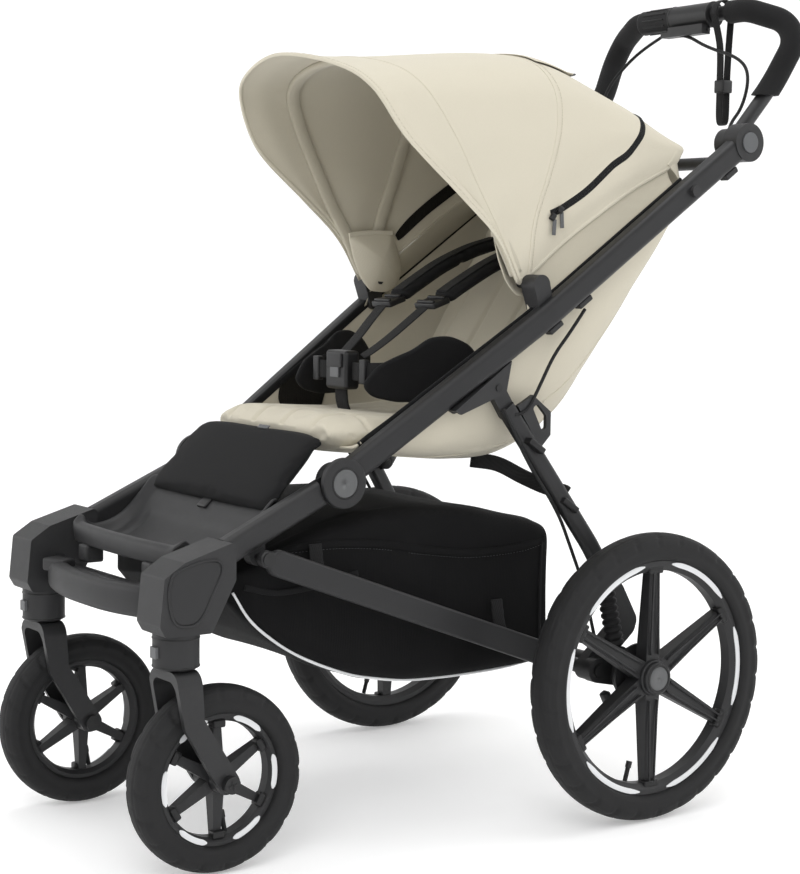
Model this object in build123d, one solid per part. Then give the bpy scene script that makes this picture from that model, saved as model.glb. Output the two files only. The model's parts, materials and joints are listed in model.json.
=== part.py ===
# Four-wheel baby stroller with a folding frame, sprung rear axle, swivelling front wheels, sling seat and canopy.
# Millimetres. +X is the stroller's left, -Y its front, +Z up. Every shape is drawn with y = 0 midway between the
# axles and the floor at z = 0, and save() then moves it so that the origin is at the middle of the whole box.
from build123d import *
import os
from math import atan2, cos, degrees, radians, sin

# Overall layout
wheelbase = 613.0
handle_rear_y = 684.0        # rearmost point of the handlebar's centre line
handle_top_z = 1153.0        # height of the handlebar's centre line over its grip

# Wheels
rear_wheel_radius = 200.0
rear_tyre_width = 47.0
rear_tyre_height = 38.0
rear_track = 630.0
front_wheel_radius = 119.5
front_tyre_width = 46.0
front_tyre_height = 36.0
front_track = 377.4
rim_seat_gap = 0.1
spoke_count = 6

# Front fork and its caster
caster_trail = 55.0
fork_band = 8.0
fork_tyre_gap = 6.0
fork_crown_gap = 13.0        # between the tyre's top and the inside of the fork's crown
caster_stem_radius = 9.0
caster_housing_radius = 29.0
caster_housing_height = 44.0
fork_to_housing_gap = 1.0

# Axles, pins and their running clearance
running_gap = 0.05
front_axle_radius = 5.0
rear_axle_radius = 6.0
pin_radius = 5.0
body_gap = 0.5               # between flat faces of two bodies

# Frame tubes
rail_width = 26.0
rail_height = 34.0
rail_corner = 9.0
lower_rail_width = 14.0
lower_rail_height = 34.0
lower_rail_x = 205.0
leg_width = 18.0
leg_depth = 25.0
handlebar_tube_radius = 11.0
foam_radius = 17.5
crossbar_radius = 9.0

# Side-view places (y, z) of the frame's pivots
fold_axis = (-119.0, 479.0)
handle_axis = (556.0, 943.0)
leg_axis = (113.0, 597.0)
lower_rail_axis = (-243.0, 392.0)
arm_axis = (255.0, 205.0)
canopy_axis = (185.0, 735.0)
recline_axis = (222.0, 524.0)

# Half distances of the rails from the middle of the stroller
rail_x_at_fold = 176.0
rail_x_at_seat = 218.0
rail_x_at_handle = 222.0
rail_bend_y = 190.0
fold_knuckle_radius = 25.0
fold_cut_radius = 34.5
fold_cover_radius = 33.0
fold_cover_depth = 8.0

# Seat and canopy
cloth_gap = 0.3              # between a soft piece and what it lies on
wall_thickness = 3.0         # of the sling's side walls
canopy_half_width = 188.0
canopy_cloth = 3.0
canopy_front_radius = 360.0
canopy_rear_radius = canopy_front_radius - canopy_cloth - 0.4
canopy_rod = 4.0
canopy_corner = 110.0

rear_axle = (wheelbase / 2, rear_wheel_radius)
front_axle = (-wheelbase / 2, front_wheel_radius)
caster_y = front_axle[0] - caster_trail
caster_x = front_track / 2
rear_wheel_x = rear_track / 2
front_reach = wheelbase / 2 + front_wheel_radius


def plate(points, x0, x1, corner=0.0):
    """A side-view outline with rounded corners, from x0 to x1."""
    face = make_face(Polyline(*points, close=True))
    if corner:
        face = fillet(face.vertices(), corner)
    return extrude(Plane.YZ.offset(x0) * face, x1 - x0)


def rod_x(centre, radius, x0, x1):
    """A cylinder along X at the side-view place given."""
    return extrude(Plane.YZ.offset(x0) * Pos(*centre) * Circle(radius), x1 - x0)


def link(a, radius_a, b, radius_b, x0, x1):
    """A flat bar with round ends at two side-view places, from x0 to x1."""
    ends = (Pos(*a) * Circle(radius_a)).edges() + (Pos(*b) * Circle(radius_b)).edges()
    return extrude(Plane.YZ.offset(x0) * make_hull(ends), x1 - x0)


def block(x0, x1, y0, y1, z0, z1, corner=0.0):
    """An upright box between its corner coordinates, with rounded edges."""
    box = Pos((x0 + x1) / 2, (y0 + y1) / 2, (z0 + z1) / 2) * Box(x1 - x0, y1 - y0, z1 - z0)
    if corner:
        box = fillet(box.edges(), corner)
    return box


def sweep_section(section, path, across=(1, 0, 0)):
    """A section swept along a path, with its first axis kept near the direction across."""
    start = Plane(origin=path @ 0, x_dir=across, z_dir=path % 0)
    return sweep(start * section, path=path, transition=Transition.ROUND)


def tube(points, radii, radius):
    """A round bar along straight runs joined by arcs."""
    path = FilletPolyline(*points, radius=radii)
    start = Plane(origin=path @ 0, z_dir=path % 0)
    return sweep(start * Circle(radius), path=path)


def both(shape):
    """A piece of the left side with its mirror image on the right."""
    return Compound(children=[*shape.solids(), *mirror(shape, about=Plane.YZ).solids()])


def on_rail(y):
    """The upper rail's centre at a given y: (x, y, z)."""
    slope = (handle_axis[1] - fold_axis[1]) / (handle_axis[0] - fold_axis[0])
    if y < rail_bend_y:
        share = (y - fold_axis[0]) / (rail_bend_y - fold_axis[0])
        x = rail_x_at_fold + share * (rail_x_at_seat - rail_x_at_fold)
    else:
        share = (y - rail_bend_y) / (handle_axis[0] - rail_bend_y)
        x = rail_x_at_seat + share * (rail_x_at_handle - rail_x_at_seat)
    return (x, y, fold_axis[1] + slope * (y - fold_axis[0]))


# Wheels -----------------------------------------------------------------------------------------------------

def wheel_tyre(radius, width, height):
    """A pneumatic tyre about the X axis through the origin, with a crowned tread and rounded shoulders."""
    section = Pos(0, radius - height / 2) * RectangleRounded(width, height, height * 0.44)
    return revolve(Plane.XY * section, Axis.X)


def wheel_rim(seat_radius, rim_width, rim_depth, hub_radius, hub_in, hub_out, bore, spoke_hub, spoke_rim):
    """A moulded rim: its ring, its spokes and its hub about the X axis. Spoke sizes are (width, thickness)."""
    half = rim_width / 2
    ring_face = make_face(Polyline(
        (-half, seat_radius), (half, seat_radius), (half, seat_radius - rim_depth * 0.5),
        (half * 0.55, seat_radius - rim_depth), (-half * 0.55, seat_radius - rim_depth),
        (-half, seat_radius - rim_depth * 0.5), close=True))
    rim = revolve(Plane.XY * ring_face, Axis.X)
    hub = extrude(Plane.YZ.offset(-hub_in) * Circle(hub_radius), hub_in + hub_out)
    hub = fillet(hub.edges().sort_by(Axis.X)[-1], 3)
    rim += hub
    for n in range(spoke_count):
        inner = Plane.XY.offset(hub_radius * 0.8) * Pos((hub_out - hub_in) / 4, 0)
        outer = Plane.XY.offset(seat_radius - rim_depth * 0.6)
        spoke = loft([inner * Rectangle(spoke_hub[1], spoke_hub[0]), outer * Rectangle(spoke_rim[1], spoke_rim[0])])
        rim += Rot(X=360 / spoke_count * n) * spoke
    rim -= extrude(Plane.YZ.offset(-hub_in - 1) * Circle(bore), hub_in + hub_out + 2)
    return rim


def place_wheel(shape, sign, x, axle):
    """A wheel piece drawn for the left side about the origin, put on its axle on one side."""
    placed = shape if sign > 0 else mirror(shape, about=Plane.YZ)
    return Pos(sign * x, axle[0], axle[1]) * placed


rear_rim_radius = rear_wheel_radius - rear_tyre_height - rim_seat_gap
front_rim_radius = front_wheel_radius - front_tyre_height - rim_seat_gap
rear_hub_radius = 25.0
rear_hub_in = 20.0
rear_hub_out = 15.0
rear_cap_out = 22.0
front_hub_radius = 15.0
front_hub_half = front_tyre_width / 2 + fork_tyre_gap - body_gap
brake_disc_radius = 42.0
brake_disc_depth = 4.0

rear_tyre = wheel_tyre(rear_wheel_radius, rear_tyre_width, rear_tyre_height)
rear_rim = wheel_rim(rear_rim_radius, 30.0, 14.0, rear_hub_radius, rear_hub_in, rear_hub_out,
                     rear_axle_radius + running_gap, (26.0, 22.0), (15.0, 13.0))
rear_hub_cap = extrude(Plane.YZ.offset(rear_hub_out) * Circle(rear_hub_radius - 2), rear_cap_out - rear_hub_out)
rear_hub_cap = fillet(rear_hub_cap.edges().sort_by(Axis.X)[-1], 3)
rear_brake_disc = extrude(Plane.YZ.offset(-rear_hub_in - brake_disc_depth) * (
    Circle(brake_disc_radius) - Circle(rear_axle_radius + running_gap)), brake_disc_depth)
rear_rim += rear_brake_disc
front_tyre = wheel_tyre(front_wheel_radius, front_tyre_width, front_tyre_height)
front_rim = wheel_rim(front_rim_radius, 28.0, 10.0, front_hub_radius, front_hub_half, front_hub_half,
                      front_axle_radius + running_gap, (16.0, 20.0), (10.0, 12.0))


# Front fork, about its own wheel's middle plane ---------------------------------------------------------------

fork_leg_in = front_tyre_width / 2 + fork_tyre_gap
fork_leg_out = fork_leg_in + fork_band
crown_low = 2 * front_wheel_radius + fork_crown_gap
crown_top = crown_low + fork_band + 4
housing_low = crown_top + fork_to_housing_gap
housing_top = housing_low + caster_housing_height


def fork():
    """The swept-back fork: one flat band bent over the tyre, with its stem."""
    low = front_axle[1] - 20
    arch = Pos(0, (crown_top + low) / 2) * RectangleRounded(2 * fork_leg_out, crown_top - low, 19)
    hollow = Pos(0, (crown_low + low - 20) / 2) * RectangleRounded(2 * fork_leg_in, crown_low - low + 20, 14)
    band = extrude(Plane.XZ.offset(200) * (arch - hollow), 300)
    crown = (caster_y, crown_top - 15)
    knee = (caster_y + 6, crown_low - 52)
    profile = link(crown, 17, knee, 14, -60, 60) + link(knee, 14, front_axle, 15, -60, 60)
    profile += block(-60, 60, caster_y - 17, caster_y + 17, crown_top - 16, crown_top)
    shape = band & profile
    shape += Pos(0, caster_y, crown_top) * Cylinder(
        caster_stem_radius, caster_housing_height * 0.7, align=(Align.CENTER, Align.CENTER, Align.MIN))
    shape -= rod_x(front_axle, front_axle_radius + running_gap, -60, 60)
    return shape


def front_axle_bolt():
    """The front wheel's axle with its two round heads, which stand on the fork's outer faces."""
    bolt = rod_x(front_axle, front_axle_radius, -fork_leg_out, fork_leg_out)
    bolt += rod_x(front_axle, 11, fork_leg_out, fork_leg_out + 9)
    bolt += rod_x(front_axle, 11, -fork_leg_out - 6, -fork_leg_out)
    return bolt


# Front frame --------------------------------------------------------------------------------------------------

casting_in = caster_x - 30
casting_out = caster_x + 30
casting_rear_y = caster_y + 67.5
front_rail_end = (casting_rear_y - 6, 396.0)
fold_inner = rail_x_at_fold - rail_width / 2
fold_outer = rail_x_at_fold + rail_width / 2
fold_middle = rail_x_at_fold
rail_section = RectangleRounded(rail_width, rail_height, rail_corner)
fold_zone = rod_x(fold_axis, fold_cut_radius, fold_inner - 20, fold_outer + 20)
inner_half = rod_x(fold_axis, fold_cut_radius, fold_inner - 20, fold_middle - body_gap / 2)
outer_half = rod_x(fold_axis, fold_cut_radius, fold_middle + body_gap / 2, fold_outer + 20)


def front_rail():
    """The short rail from the fold knuckle down to the caster casting, with the lug of the lower rail."""
    path = Line((rail_x_at_fold, *fold_axis), (rail_x_at_fold + 6, *front_rail_end))
    bar = sweep_section(rail_section, path)
    bar -= block(0, 400, -400, casting_rear_y, 300, 500)
    shape = (bar - fold_zone) + (bar & inner_half)
    shape += rod_x(fold_axis, fold_knuckle_radius, fold_inner, fold_middle - body_gap / 2)
    shape -= rod_x(fold_axis, pin_radius + running_gap, fold_inner - 5, fold_outer + 5)
    lug_root = (lower_rail_axis[0] - 4, lower_rail_axis[1] + 22)
    lug = link(lower_rail_axis, 11, lug_root, 15, fold_inner + 6, fold_outer - 4)
    shape += lug
    shape -= rod_x(lower_rail_axis, pin_radius + running_gap, fold_inner - 5, fold_outer + 5)
    return shape.solids().sort_by(SortBy.VOLUME)[-1]


def caster_casting():
    """The V-shaped casting at each front corner, with its round caster housing below."""
    y_front = caster_y - 38
    outline = [(y_front, housing_top + 14), (y_front + 6, housing_top + 72), (y_front + 34, housing_top + 90),
               (casting_rear_y, front_rail_end[1] + 24), (casting_rear_y, front_rail_end[1] - 24),
               (caster_y + 34, housing_top), (caster_y - 30, housing_top)]
    body = plate(outline, casting_in, casting_out, 6)
    seat = Pos(caster_x, caster_y, housing_low) * Cylinder(
        caster_housing_radius, caster_housing_height + 3, align=(Align.CENTER, Align.CENTER, Align.MIN))
    seat = chamfer(seat.edges().group_by(Axis.Z)[0], 4)
    body += seat
    stem_bore = Pos(caster_x, caster_y, housing_low - 1) * Cylinder(
        caster_stem_radius + running_gap, caster_housing_height * 0.7 + 3,
        align=(Align.CENTER, Align.CENTER, Align.MIN))
    button_bore = block(caster_x - 7.3, caster_x + 7.3, caster_y - caster_housing_radius - 4,
                        caster_y - caster_housing_radius + 9, housing_low + 14.7, housing_low + 29.3)
    return body - stem_bore - button_bore


def caster_button():
    """The square push button that locks the caster, drawn for the left side."""
    face_y = caster_y - caster_housing_radius
    return block(caster_x - 7, caster_x + 7, face_y - 3, face_y + 6, housing_low + 15, housing_low + 29)


cross_front_y = caster_y - 14
cross_top = housing_top + 50


def cross_member():
    """The moulded beam between the two castings, bowed a little forward."""
    outline = Polyline((-casting_in, cross_front_y + 40), (casting_in, cross_front_y + 40),
                       (casting_in, cross_front_y), (70, cross_front_y - 16), (-70, cross_front_y - 16),
                       (-casting_in, cross_front_y), close=True)
    face = Pos(0, 0, housing_top + 8) * make_face(outline)
    beam = extrude(face, cross_top - housing_top - 8)
    return fillet(beam.edges().filter_by(Axis.X), 6)


tray_half = 138.0
tray_z = cross_top + 26
tray_wall = 16.0


def foot_tray():
    """The foot tray with its upturned front lip and side edges, carried on two feet on the beam."""
    y0 = cross_front_y + 44
    y1 = y0 + 128
    floor = block(-tray_half, tray_half, y0, y1, tray_z, tray_z + 5)
    lip = block(-tray_half, tray_half, y0, y0 + 5, tray_z, tray_z + 26)
    walls = block(tray_half - 5, tray_half, y0, y1, tray_z, tray_z + tray_wall)
    walls += block(-tray_half, -tray_half + 5, y0, y1, tray_z, tray_z + tray_wall)
    tray = floor + lip + walls
    for x in (-90, 90):
        tray += block(x - 14, x + 14, y0 - 20, y0 + 26, cross_top + 0.2, tray_z)
    for s in (-1, 1):
        tray += block(min(s * tray_half, s * fold_inner), max(s * tray_half, s * fold_inner), y1 - 40, y1 - 12,
                      tray_z, tray_z + 5)
    return tray


calf_rear = (fold_axis[0] - 8, fold_axis[1] + 18)
calf_front = (cross_front_y + 44 + 100, tray_z + tray_wall + 6 + cloth_gap)
calf_half = 148.0


def calf_panel():
    """The padded panel that slopes from the seat's front edge down to the foot tray."""
    return link(calf_rear, 6, calf_front, 6, -calf_half, calf_half)


def front_pins():
    """The pins that the front rails carry: the fold joint's, and the lower rails' with their heads."""
    rail_out = lower_rail_x + lower_rail_width / 2
    fold_pin = rod_x(fold_axis, pin_radius, fold_inner - 3, fold_outer + 1)
    rail_pin = rod_x(lower_rail_axis, pin_radius, fold_inner + 2, rail_out + body_gap)
    rail_pin += rod_x(lower_rail_axis, 9, rail_out + body_gap, rail_out + 3)
    return Compound(children=[*both(fold_pin).solids(), *both(rail_pin).solids()])


# Basket: an open-topped bag under the seat ------------------------------------------------------------------

basket_half = 172.0
basket_wall = 3.0


def basket():
    """The bag, with its sloping floor, its rear lid and its open mouth in front of the lid."""
    outline = [(-196, 402), (-120, 430), (20, 444), (245, 404), (262, 300), (240, 196), (60, 190), (-60, 200),
               (-190, 250), (-262, 345), (-206, 376)]
    solid = plate(outline, -basket_half, basket_half, 12)
    inside = [(-190, 392), (-120, 426), (20, 440), (241, 400), (262 - basket_wall, 300),
              (240 - basket_wall, 200), (60, 194), (-58, 204), (-187, 254), (-256, 345), (-202, 374)]
    hollow = plate(inside, -basket_half + basket_wall, basket_half - basket_wall, 8)
    mouth = block(-basket_half + 22, basket_half - 22, -176, -40, 380, 470)
    return solid - hollow - mouth


# Upper frame -------------------------------------------------------------------------------------------------

handle_hub_radius = 28.0
handle_hub_in = rail_x_at_handle - 14
handle_hub_out = rail_x_at_handle + 14
handle_button_radius = 15.0
handle_button_depth = 6.0


def upper_bar(extra=0.0):
    """The upper rail's bare tube, or the room it takes with some clearance round it."""
    path = FilletPolyline(on_rail(fold_axis[0]), on_rail(rail_bend_y), on_rail(handle_axis[0]), radius=400)
    section = RectangleRounded(rail_width + 2 * extra, rail_height + 2 * extra, rail_corner + extra)
    return sweep_section(section, path)


def upper_rail():
    """The long rail from the fold knuckle to the handle hub."""
    bar = upper_bar()
    shape = (bar - fold_zone) + (bar & outer_half)
    shape += rod_x(fold_axis, fold_knuckle_radius, fold_middle + body_gap / 2, fold_outer)
    shape += rod_x(handle_axis, handle_hub_radius, handle_hub_in, handle_hub_out)
    shape -= rod_x(fold_axis, pin_radius + running_gap, fold_inner - 5, fold_outer + 5)
    shape -= rod_x(fold_axis, fold_cover_radius + 0.2, fold_outer, fold_outer + 20)
    shape -= rod_x(handle_axis, handle_button_radius + 0.3, handle_hub_out - handle_button_depth,
                   handle_hub_out + 5)
    return shape.solids().sort_by(SortBy.VOLUME)[-1]


def fold_cover():
    """The round cover on the outside of the fold joint."""
    cover = rod_x(fold_axis, fold_cover_radius, fold_outer, fold_outer + fold_cover_depth)
    cover = fillet(cover.edges().group_by(Axis.X)[-1], 2.5)
    cover -= rod_x(fold_axis, 21, fold_outer + fold_cover_depth - 1, fold_outer + fold_cover_depth + 5)
    cover += rod_x(fold_axis, 19, fold_outer + fold_cover_depth - 2, fold_outer + fold_cover_depth - 0.2)
    cover -= rod_x(fold_axis, pin_radius + 1, fold_outer - 1, fold_outer + 3)
    return cover


def handle_button():
    """The round release button in the hub's outer face, drawn for the left side."""
    x0 = handle_hub_out - 2.5
    button = rod_x(handle_axis, handle_button_radius, x0, handle_hub_out + 2)
    return fillet(button.edges().group_by(Axis.X)[-1], 1)


def cross_bar():
    """The bar that joins the two upper rails behind the canopy."""
    y, z = on_rail(505)[1:]
    half = rod_x((y, z + 4), crossbar_radius, 0, rail_x_at_handle) - upper_bar(0.1)
    half = half.solids().sort_by(Axis.X)[0]
    return half + mirror(half, about=Plane.YZ)


cheek = 4.0
leg_half = rail_width / 2 - cheek - body_gap - 3


def under_rail(y):
    """The height of the upper rail's underside at y, less a hair."""
    slope = (handle_axis[1] - fold_axis[1]) / (handle_axis[0] - fold_axis[0])
    return on_rail(y)[2] - rail_height / 2 * (1 + slope ** 2) ** 0.5 - 0.2


def leg_gusset():
    """The clevis under the upper rail that carries the rear leg's top pivot."""
    x = on_rail(leg_axis[0])[0]
    y, z = leg_axis
    outline = [(y - 72, under_rail(y - 72)), (y + 22, under_rail(y + 22)), (y + 13, z - 9), (y - 6, z - 14),
               (y - 62, under_rail(y - 62) - 12)]
    inside = x - leg_half - body_gap
    outside = x + leg_half + body_gap
    shape = plate(outline, inside - cheek, inside) + plate(outline, outside, outside + cheek)
    web = [(y - 72, under_rail(y - 72)), (y - 22, under_rail(y - 22)), (y - 22, under_rail(y - 22) - 6),
           (y - 62, under_rail(y - 62) - 10)]
    shape += plate(web, inside, outside)
    return shape - rod_x(leg_axis, pin_radius + running_gap, x - 20, x + 20)


def upper_pins():
    """The pins that the upper rails carry: the handlebar's, inboard of the hubs, and the rear legs'."""
    x = on_rail(leg_axis[0])[0]
    handle_pin = rod_x(handle_axis, pin_radius + 1, rail_x_at_handle - 40, handle_hub_in)
    leg_pin = rod_x(leg_axis, pin_radius, x - leg_half - 6, x + leg_half + 6)
    return Compound(children=[*both(handle_pin).solids(), *both(leg_pin).solids()])


rail_slope = atan2(handle_axis[1] - fold_axis[1], handle_axis[0] - fold_axis[0])


def rail_clip(y, width, length, thickness):
    """A clip against the upper rail's underside."""
    x, _, z = on_rail(y)
    drop = rail_height / 2 + 0.2 + thickness / 2
    place = Pos(x, y + drop * sin(rail_slope), z - drop * cos(rail_slope))
    clip = place * Rot(X=degrees(rail_slope)) * Box(width, length, thickness)
    return fillet(clip.edges(), 2)


def rail_clips():
    """A knob near the handle, two cable clips and a larger clip under the handle's pivot."""
    x, y, z = on_rail(449)
    knob = rod_x((y, z), 8, x + rail_width / 2 + 0.2, x + rail_width / 2 + 6)
    shapes = [knob, rail_clip(195, 14, 26, 8), rail_clip(246, 14, 26, 8), rail_clip(516, 16, 26, 9)]
    return Compound(children=[s for shape in shapes for s in both(shape).solids()])


# Seat, harness and canopy ------------------------------------------------------------------------------------

def sling_plan(inset, thickness):
    """The plan-view band that follows the left upper rail's inner face at the given inset."""
    edge = [(on_rail(y)[0] - rail_width / 2 - inset, y) for y in (fold_axis[0], rail_bend_y, 480)]
    return edge + [(x - thickness, y) for x, y in reversed(edge)]


def seat_pan():
    """The sling seat's padded bottom with its rolled front edge, as wide as the side walls allow."""
    outline = [(-103, 545), (-92, 568), (20, 572), (200, 552), (214, 520), (150, 492), (0, 505), (-92, 528)]
    edge = sling_plan(2 * cloth_gap + wall_thickness, 0)[:3]
    plan = make_face(Polyline(*edge, *[(-x, y) for x, y in reversed(edge)], close=True))
    return plate(outline, -250, 250, 8) & extrude(Pos(0, 0, 400) * plan, 300)


def seat_side_walls():
    """The sling's side walls, which lie against the rails' inner faces."""
    top = [(y, on_rail(y)[2] - 9) for y in (400, -10)]
    outline = [(-50, 520), (110, 500), (200, 560), (300, 690), (405, 812), *top]
    plan = make_face(Polyline(*sling_plan(cloth_gap, wall_thickness), close=True))
    wall = plate(outline, 0, 250) & extrude(Pos(0, 0, 400) * plan, 600)
    return both(wall - upper_bar(cloth_gap))


back_half_width = rail_x_at_seat - rail_width / 2 - wall_thickness - 2 * cloth_gap


def backrest():
    """The padded backrest, leaning back from the seat."""
    outline = [(222, 572), (240, 548), (272, 580), (452, 838), (438, 868), (408, 864), (228, 610)]
    return plate(outline, -back_half_width, back_half_width, 9)


def strap(points, x0, x1, thickness, width):
    """Flat webbing between two side-view places, with its middle going from x0 to x1."""
    (ya, za), (yb, zb) = points
    a = Vector(x0, ya, za)
    b = Vector(x1, yb, zb)
    path = Line(a, b)
    start = Plane(origin=path @ 0, x_dir=(1, 0, 0), z_dir=path % 0)
    return sweep(start * Rectangle(width, thickness), path=path)


def shoulder_pads():
    return both(strap([(351.4, 791.7), (135.5, 712.2)], 62, 54, 9, 44))


def shoulder_sliders():
    return both(strap([(135.1, 712.0), (107, 701.6)], 54, 52.9, 14, 40))


def harness_webbing():
    return both(strap([(105, 700.4), (28, 634)], 51, 28, 2.5, 22))


def harness_buckle():
    """The centre buckle over the crotch strap."""
    body = block(-26, 26, -6, 18, 586, 640, 5)
    return body - block(-10.3, 10.3, -12, 1, 602.7, 623.3)


def buckle_button():
    return block(-10, 10, -8.5, -3.5, 603, 623)


def lap_straps():
    """The crotch strap below the buckle and the two hip pads beside it."""
    outline = [(-14, 590), (30, 640), (110, 652), (150, 600), (150, 557.9), (30, 571.2)]
    crotch = block(-16, 16, 4.5, 7.5, 572.5, 585.8)
    return Compound(children=[crotch, *both(plate(outline, 96, 104, 8)).solids()])


def canopy_profile(radius):
    """Half of the canopy cloth's section through its pivot axis: a side wall, a round shoulder and a flat crown."""
    w = canopy_half_width - (canopy_front_radius - radius)
    outer = FilletPolyline((w, 24), (w, radius), (-w, radius), (-w, 24), radius=[canopy_corner, canopy_corner])
    t = canopy_cloth
    inner = FilletPolyline((w - t, 24), (w - t, radius - t), (-w + t, radius - t), (-w + t, 24),
                           radius=[canopy_corner - t, canopy_corner - t])
    ends = [Line((w, 24), (w - t, 24)), Line((-w, 24), (-w + t, 24))]
    return make_face([*outer.edges(), *inner.edges(), *[e for line in ends for e in line.edges()]])


def canopy_sector(radius, start, end):
    """The cloth between two angles about the canopy's pivot axis, counted from the rear, upwards."""
    shell = revolve(Plane.XY * canopy_profile(radius), Axis.X, end - start)
    return Pos(0, *canopy_axis) * Rot(X=start) * shell


canopy_rear_start = 33.0
canopy_split = 97.0
canopy_overlap = 5.0
canopy_front_end = 143.0


def canopy_bow(angle, half_width, radius):
    """A bent rod under the cloth, with an eye on the pivot pin at each end."""
    w = half_width
    path = FilletPolyline((w, 12), (w, radius), (-w, radius), (-w, 12), radius=[canopy_corner, canopy_corner])
    start = Plane(origin=path @ 0, z_dir=path % 0)
    bow = sweep(start * Circle(canopy_rod), path=path)
    bow = Pos(0, *canopy_axis) * Rot(X=angle) * bow
    for s in (-1, 1):
        bow += rod_x(canopy_axis, 20, min(s * (w - 4.5), s * (w + 4.5)), max(s * (w - 4.5), s * (w + 4.5)))
    bow -= rod_x(canopy_axis, pin_radius + running_gap, -w - 20, w + 20)
    return bow


front_bow_half = canopy_half_width - canopy_cloth - canopy_rod - cloth_gap
rear_bow_half = front_bow_half - 10
front_bow_radius = canopy_front_radius - canopy_cloth - canopy_rod - cloth_gap
rear_bow_radius = canopy_rear_radius - canopy_cloth - canopy_rod - cloth_gap


def canopy_blocks():
    """The blocks on the rails, with the pins that the canopy's bows turn on."""
    inner = canopy_half_width + 1
    hold = link(canopy_axis, 14, (canopy_axis[0] + 9, canopy_axis[1] - 32), 12, inner, rail_x_at_seat)
    hold = (hold - upper_bar(0.2)).solids().sort_by(Axis.X)[0]
    return both(hold + rod_x(canopy_axis, pin_radius, rear_bow_half - 5, inner))


# Handlebar -----------------------------------------------------------------------------------------------------

grip_y = 660.0
grip_half = 122.0
handle_leg_x = 196.0
handle_inner_hub_out = handle_hub_in - body_gap
handle_inner_hub_in = handle_inner_hub_out - 23
bar_points = [(-handle_leg_x, handle_axis[0] + 8, handle_axis[1] + 8), (-190, 646, 1034),
              (-205, handle_rear_y + 8, handle_top_z - 30), (-grip_half, grip_y, handle_top_z),
              (grip_half, grip_y, handle_top_z), (205, handle_rear_y + 8, handle_top_z - 30), (190, 646, 1034),
              (handle_leg_x, handle_axis[0] + 8, handle_axis[1] + 8)]
bar_radii = [140, 46, 60, 60, 46, 140]
module_right = -104.0
module_left = 50.0
module_radius = 19.5


def handlebar_tube():
    """The bent tube with its two pivot hubs."""
    shape = tube(bar_points, bar_radii, handlebar_tube_radius)
    for s in (-1, 1):
        x0 = min(s * handle_inner_hub_in, s * handle_inner_hub_out)
        x1 = max(s * handle_inner_hub_in, s * handle_inner_hub_out)
        shape += rod_x(handle_axis, 22, x0, x1)
    shape -= rod_x(handle_axis, pin_radius + 1 + running_gap, -handle_hub_in - 1, handle_hub_in + 1)
    return shape.solids().sort_by(SortBy.VOLUME)[-1]


def handlebar_foam():
    """The two foam sleeves: each goes from beside the brake module round the corner and down the leg."""
    sleeve = tube(bar_points, bar_radii, foam_radius) - tube(bar_points, bar_radii, handlebar_tube_radius + 0.05)
    sleeve -= block(module_right - 1, module_left + 36, grip_y - 60, grip_y + 60, handle_top_z - 40,
                    handle_top_z + 40)
    sleeve -= block(-400, 400, 400, 800, 800, 1018)
    return sleeve


def brake_module():
    """The moulded housing round the bar at its middle, with the cable outlet below."""
    low = extrude(Plane.YZ.offset(module_right + 70) * Pos(grip_y, handle_top_z) * Circle(module_radius),
                  module_left - module_right - 70)
    low -= rod_x((grip_y, handle_top_z), handlebar_tube_radius + 0.05, module_right, module_left + 2)
    low += block(module_right + 74, module_left - 4, grip_y - 22, grip_y - 4, handle_top_z - 30, handle_top_z - 15)
    low += block(4 - module_left, module_left - 4, grip_y - 22, grip_y - 4, handle_top_z - 30, handle_top_z - 22)
    low -= rod_x((grip_y, handle_top_z), handlebar_tube_radius + 0.05, module_right, module_left + 2)
    return low


def brake_grip():
    """The twist grip beside the brake module."""
    grip = rod_x((grip_y, handle_top_z), module_radius - 1, module_right, module_right + 69.5)
    grip = fillet(grip.edges(), 2)
    ribs = []
    for n in range(12):
        angle = radians(30 * n)
        rib = Pos((2 * module_right + 69.5) / 2, grip_y + (module_radius - 1) * cos(angle),
                  handle_top_z + (module_radius - 1) * sin(angle)) * Rot(Y=90) * Cylinder(1.6, 48)
        ribs.append(rib)
    for rib in ribs:
        grip += rib
    return grip - rod_x((grip_y, handle_top_z), handlebar_tube_radius + running_gap, module_right - 2,
                        module_right + 72)


def wrist_strap():
    """The wrist strap: a ring round the bar, a long narrow loop that hangs from it, and its slider."""
    x0 = module_left + 12
    x1 = x0 + 14
    ring = rod_x((grip_y, handle_top_z), handlebar_tube_radius + 4, x0, x1)
    ring -= rod_x((grip_y, handle_top_z), handlebar_tube_radius + 0.2, x0 - 1, x1 + 1)
    z0 = handle_top_z - handlebar_tube_radius - 3
    drop = 158.0
    loop = block(x0, x1, grip_y - 3.5, grip_y - 1, z0 - drop, z0)
    loop += block(x0, x1, grip_y + 11, grip_y + 13.5, z0 - drop, z0 - 12)
    loop += block(x0, x1, grip_y - 3.5, grip_y + 13.5, z0 - drop, z0 - drop + 3)
    loop += block(x0, x1, grip_y - 3.5, grip_y + 13.5, z0 - 14, z0 - 11.5)
    z = handle_top_z - 112
    slider = block(x0 - 3, x0 + 17, grip_y - 6, grip_y + 16, z - 9, z + 9)
    slider -= block(x0 - 0.3, x0 + 14.3, grip_y - 3.8, grip_y + 13.8, z - 10, z + 10)
    return Compound(children=[*(ring + loop).solids(), *slider.solids()])


cable_radius = 2.5


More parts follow.
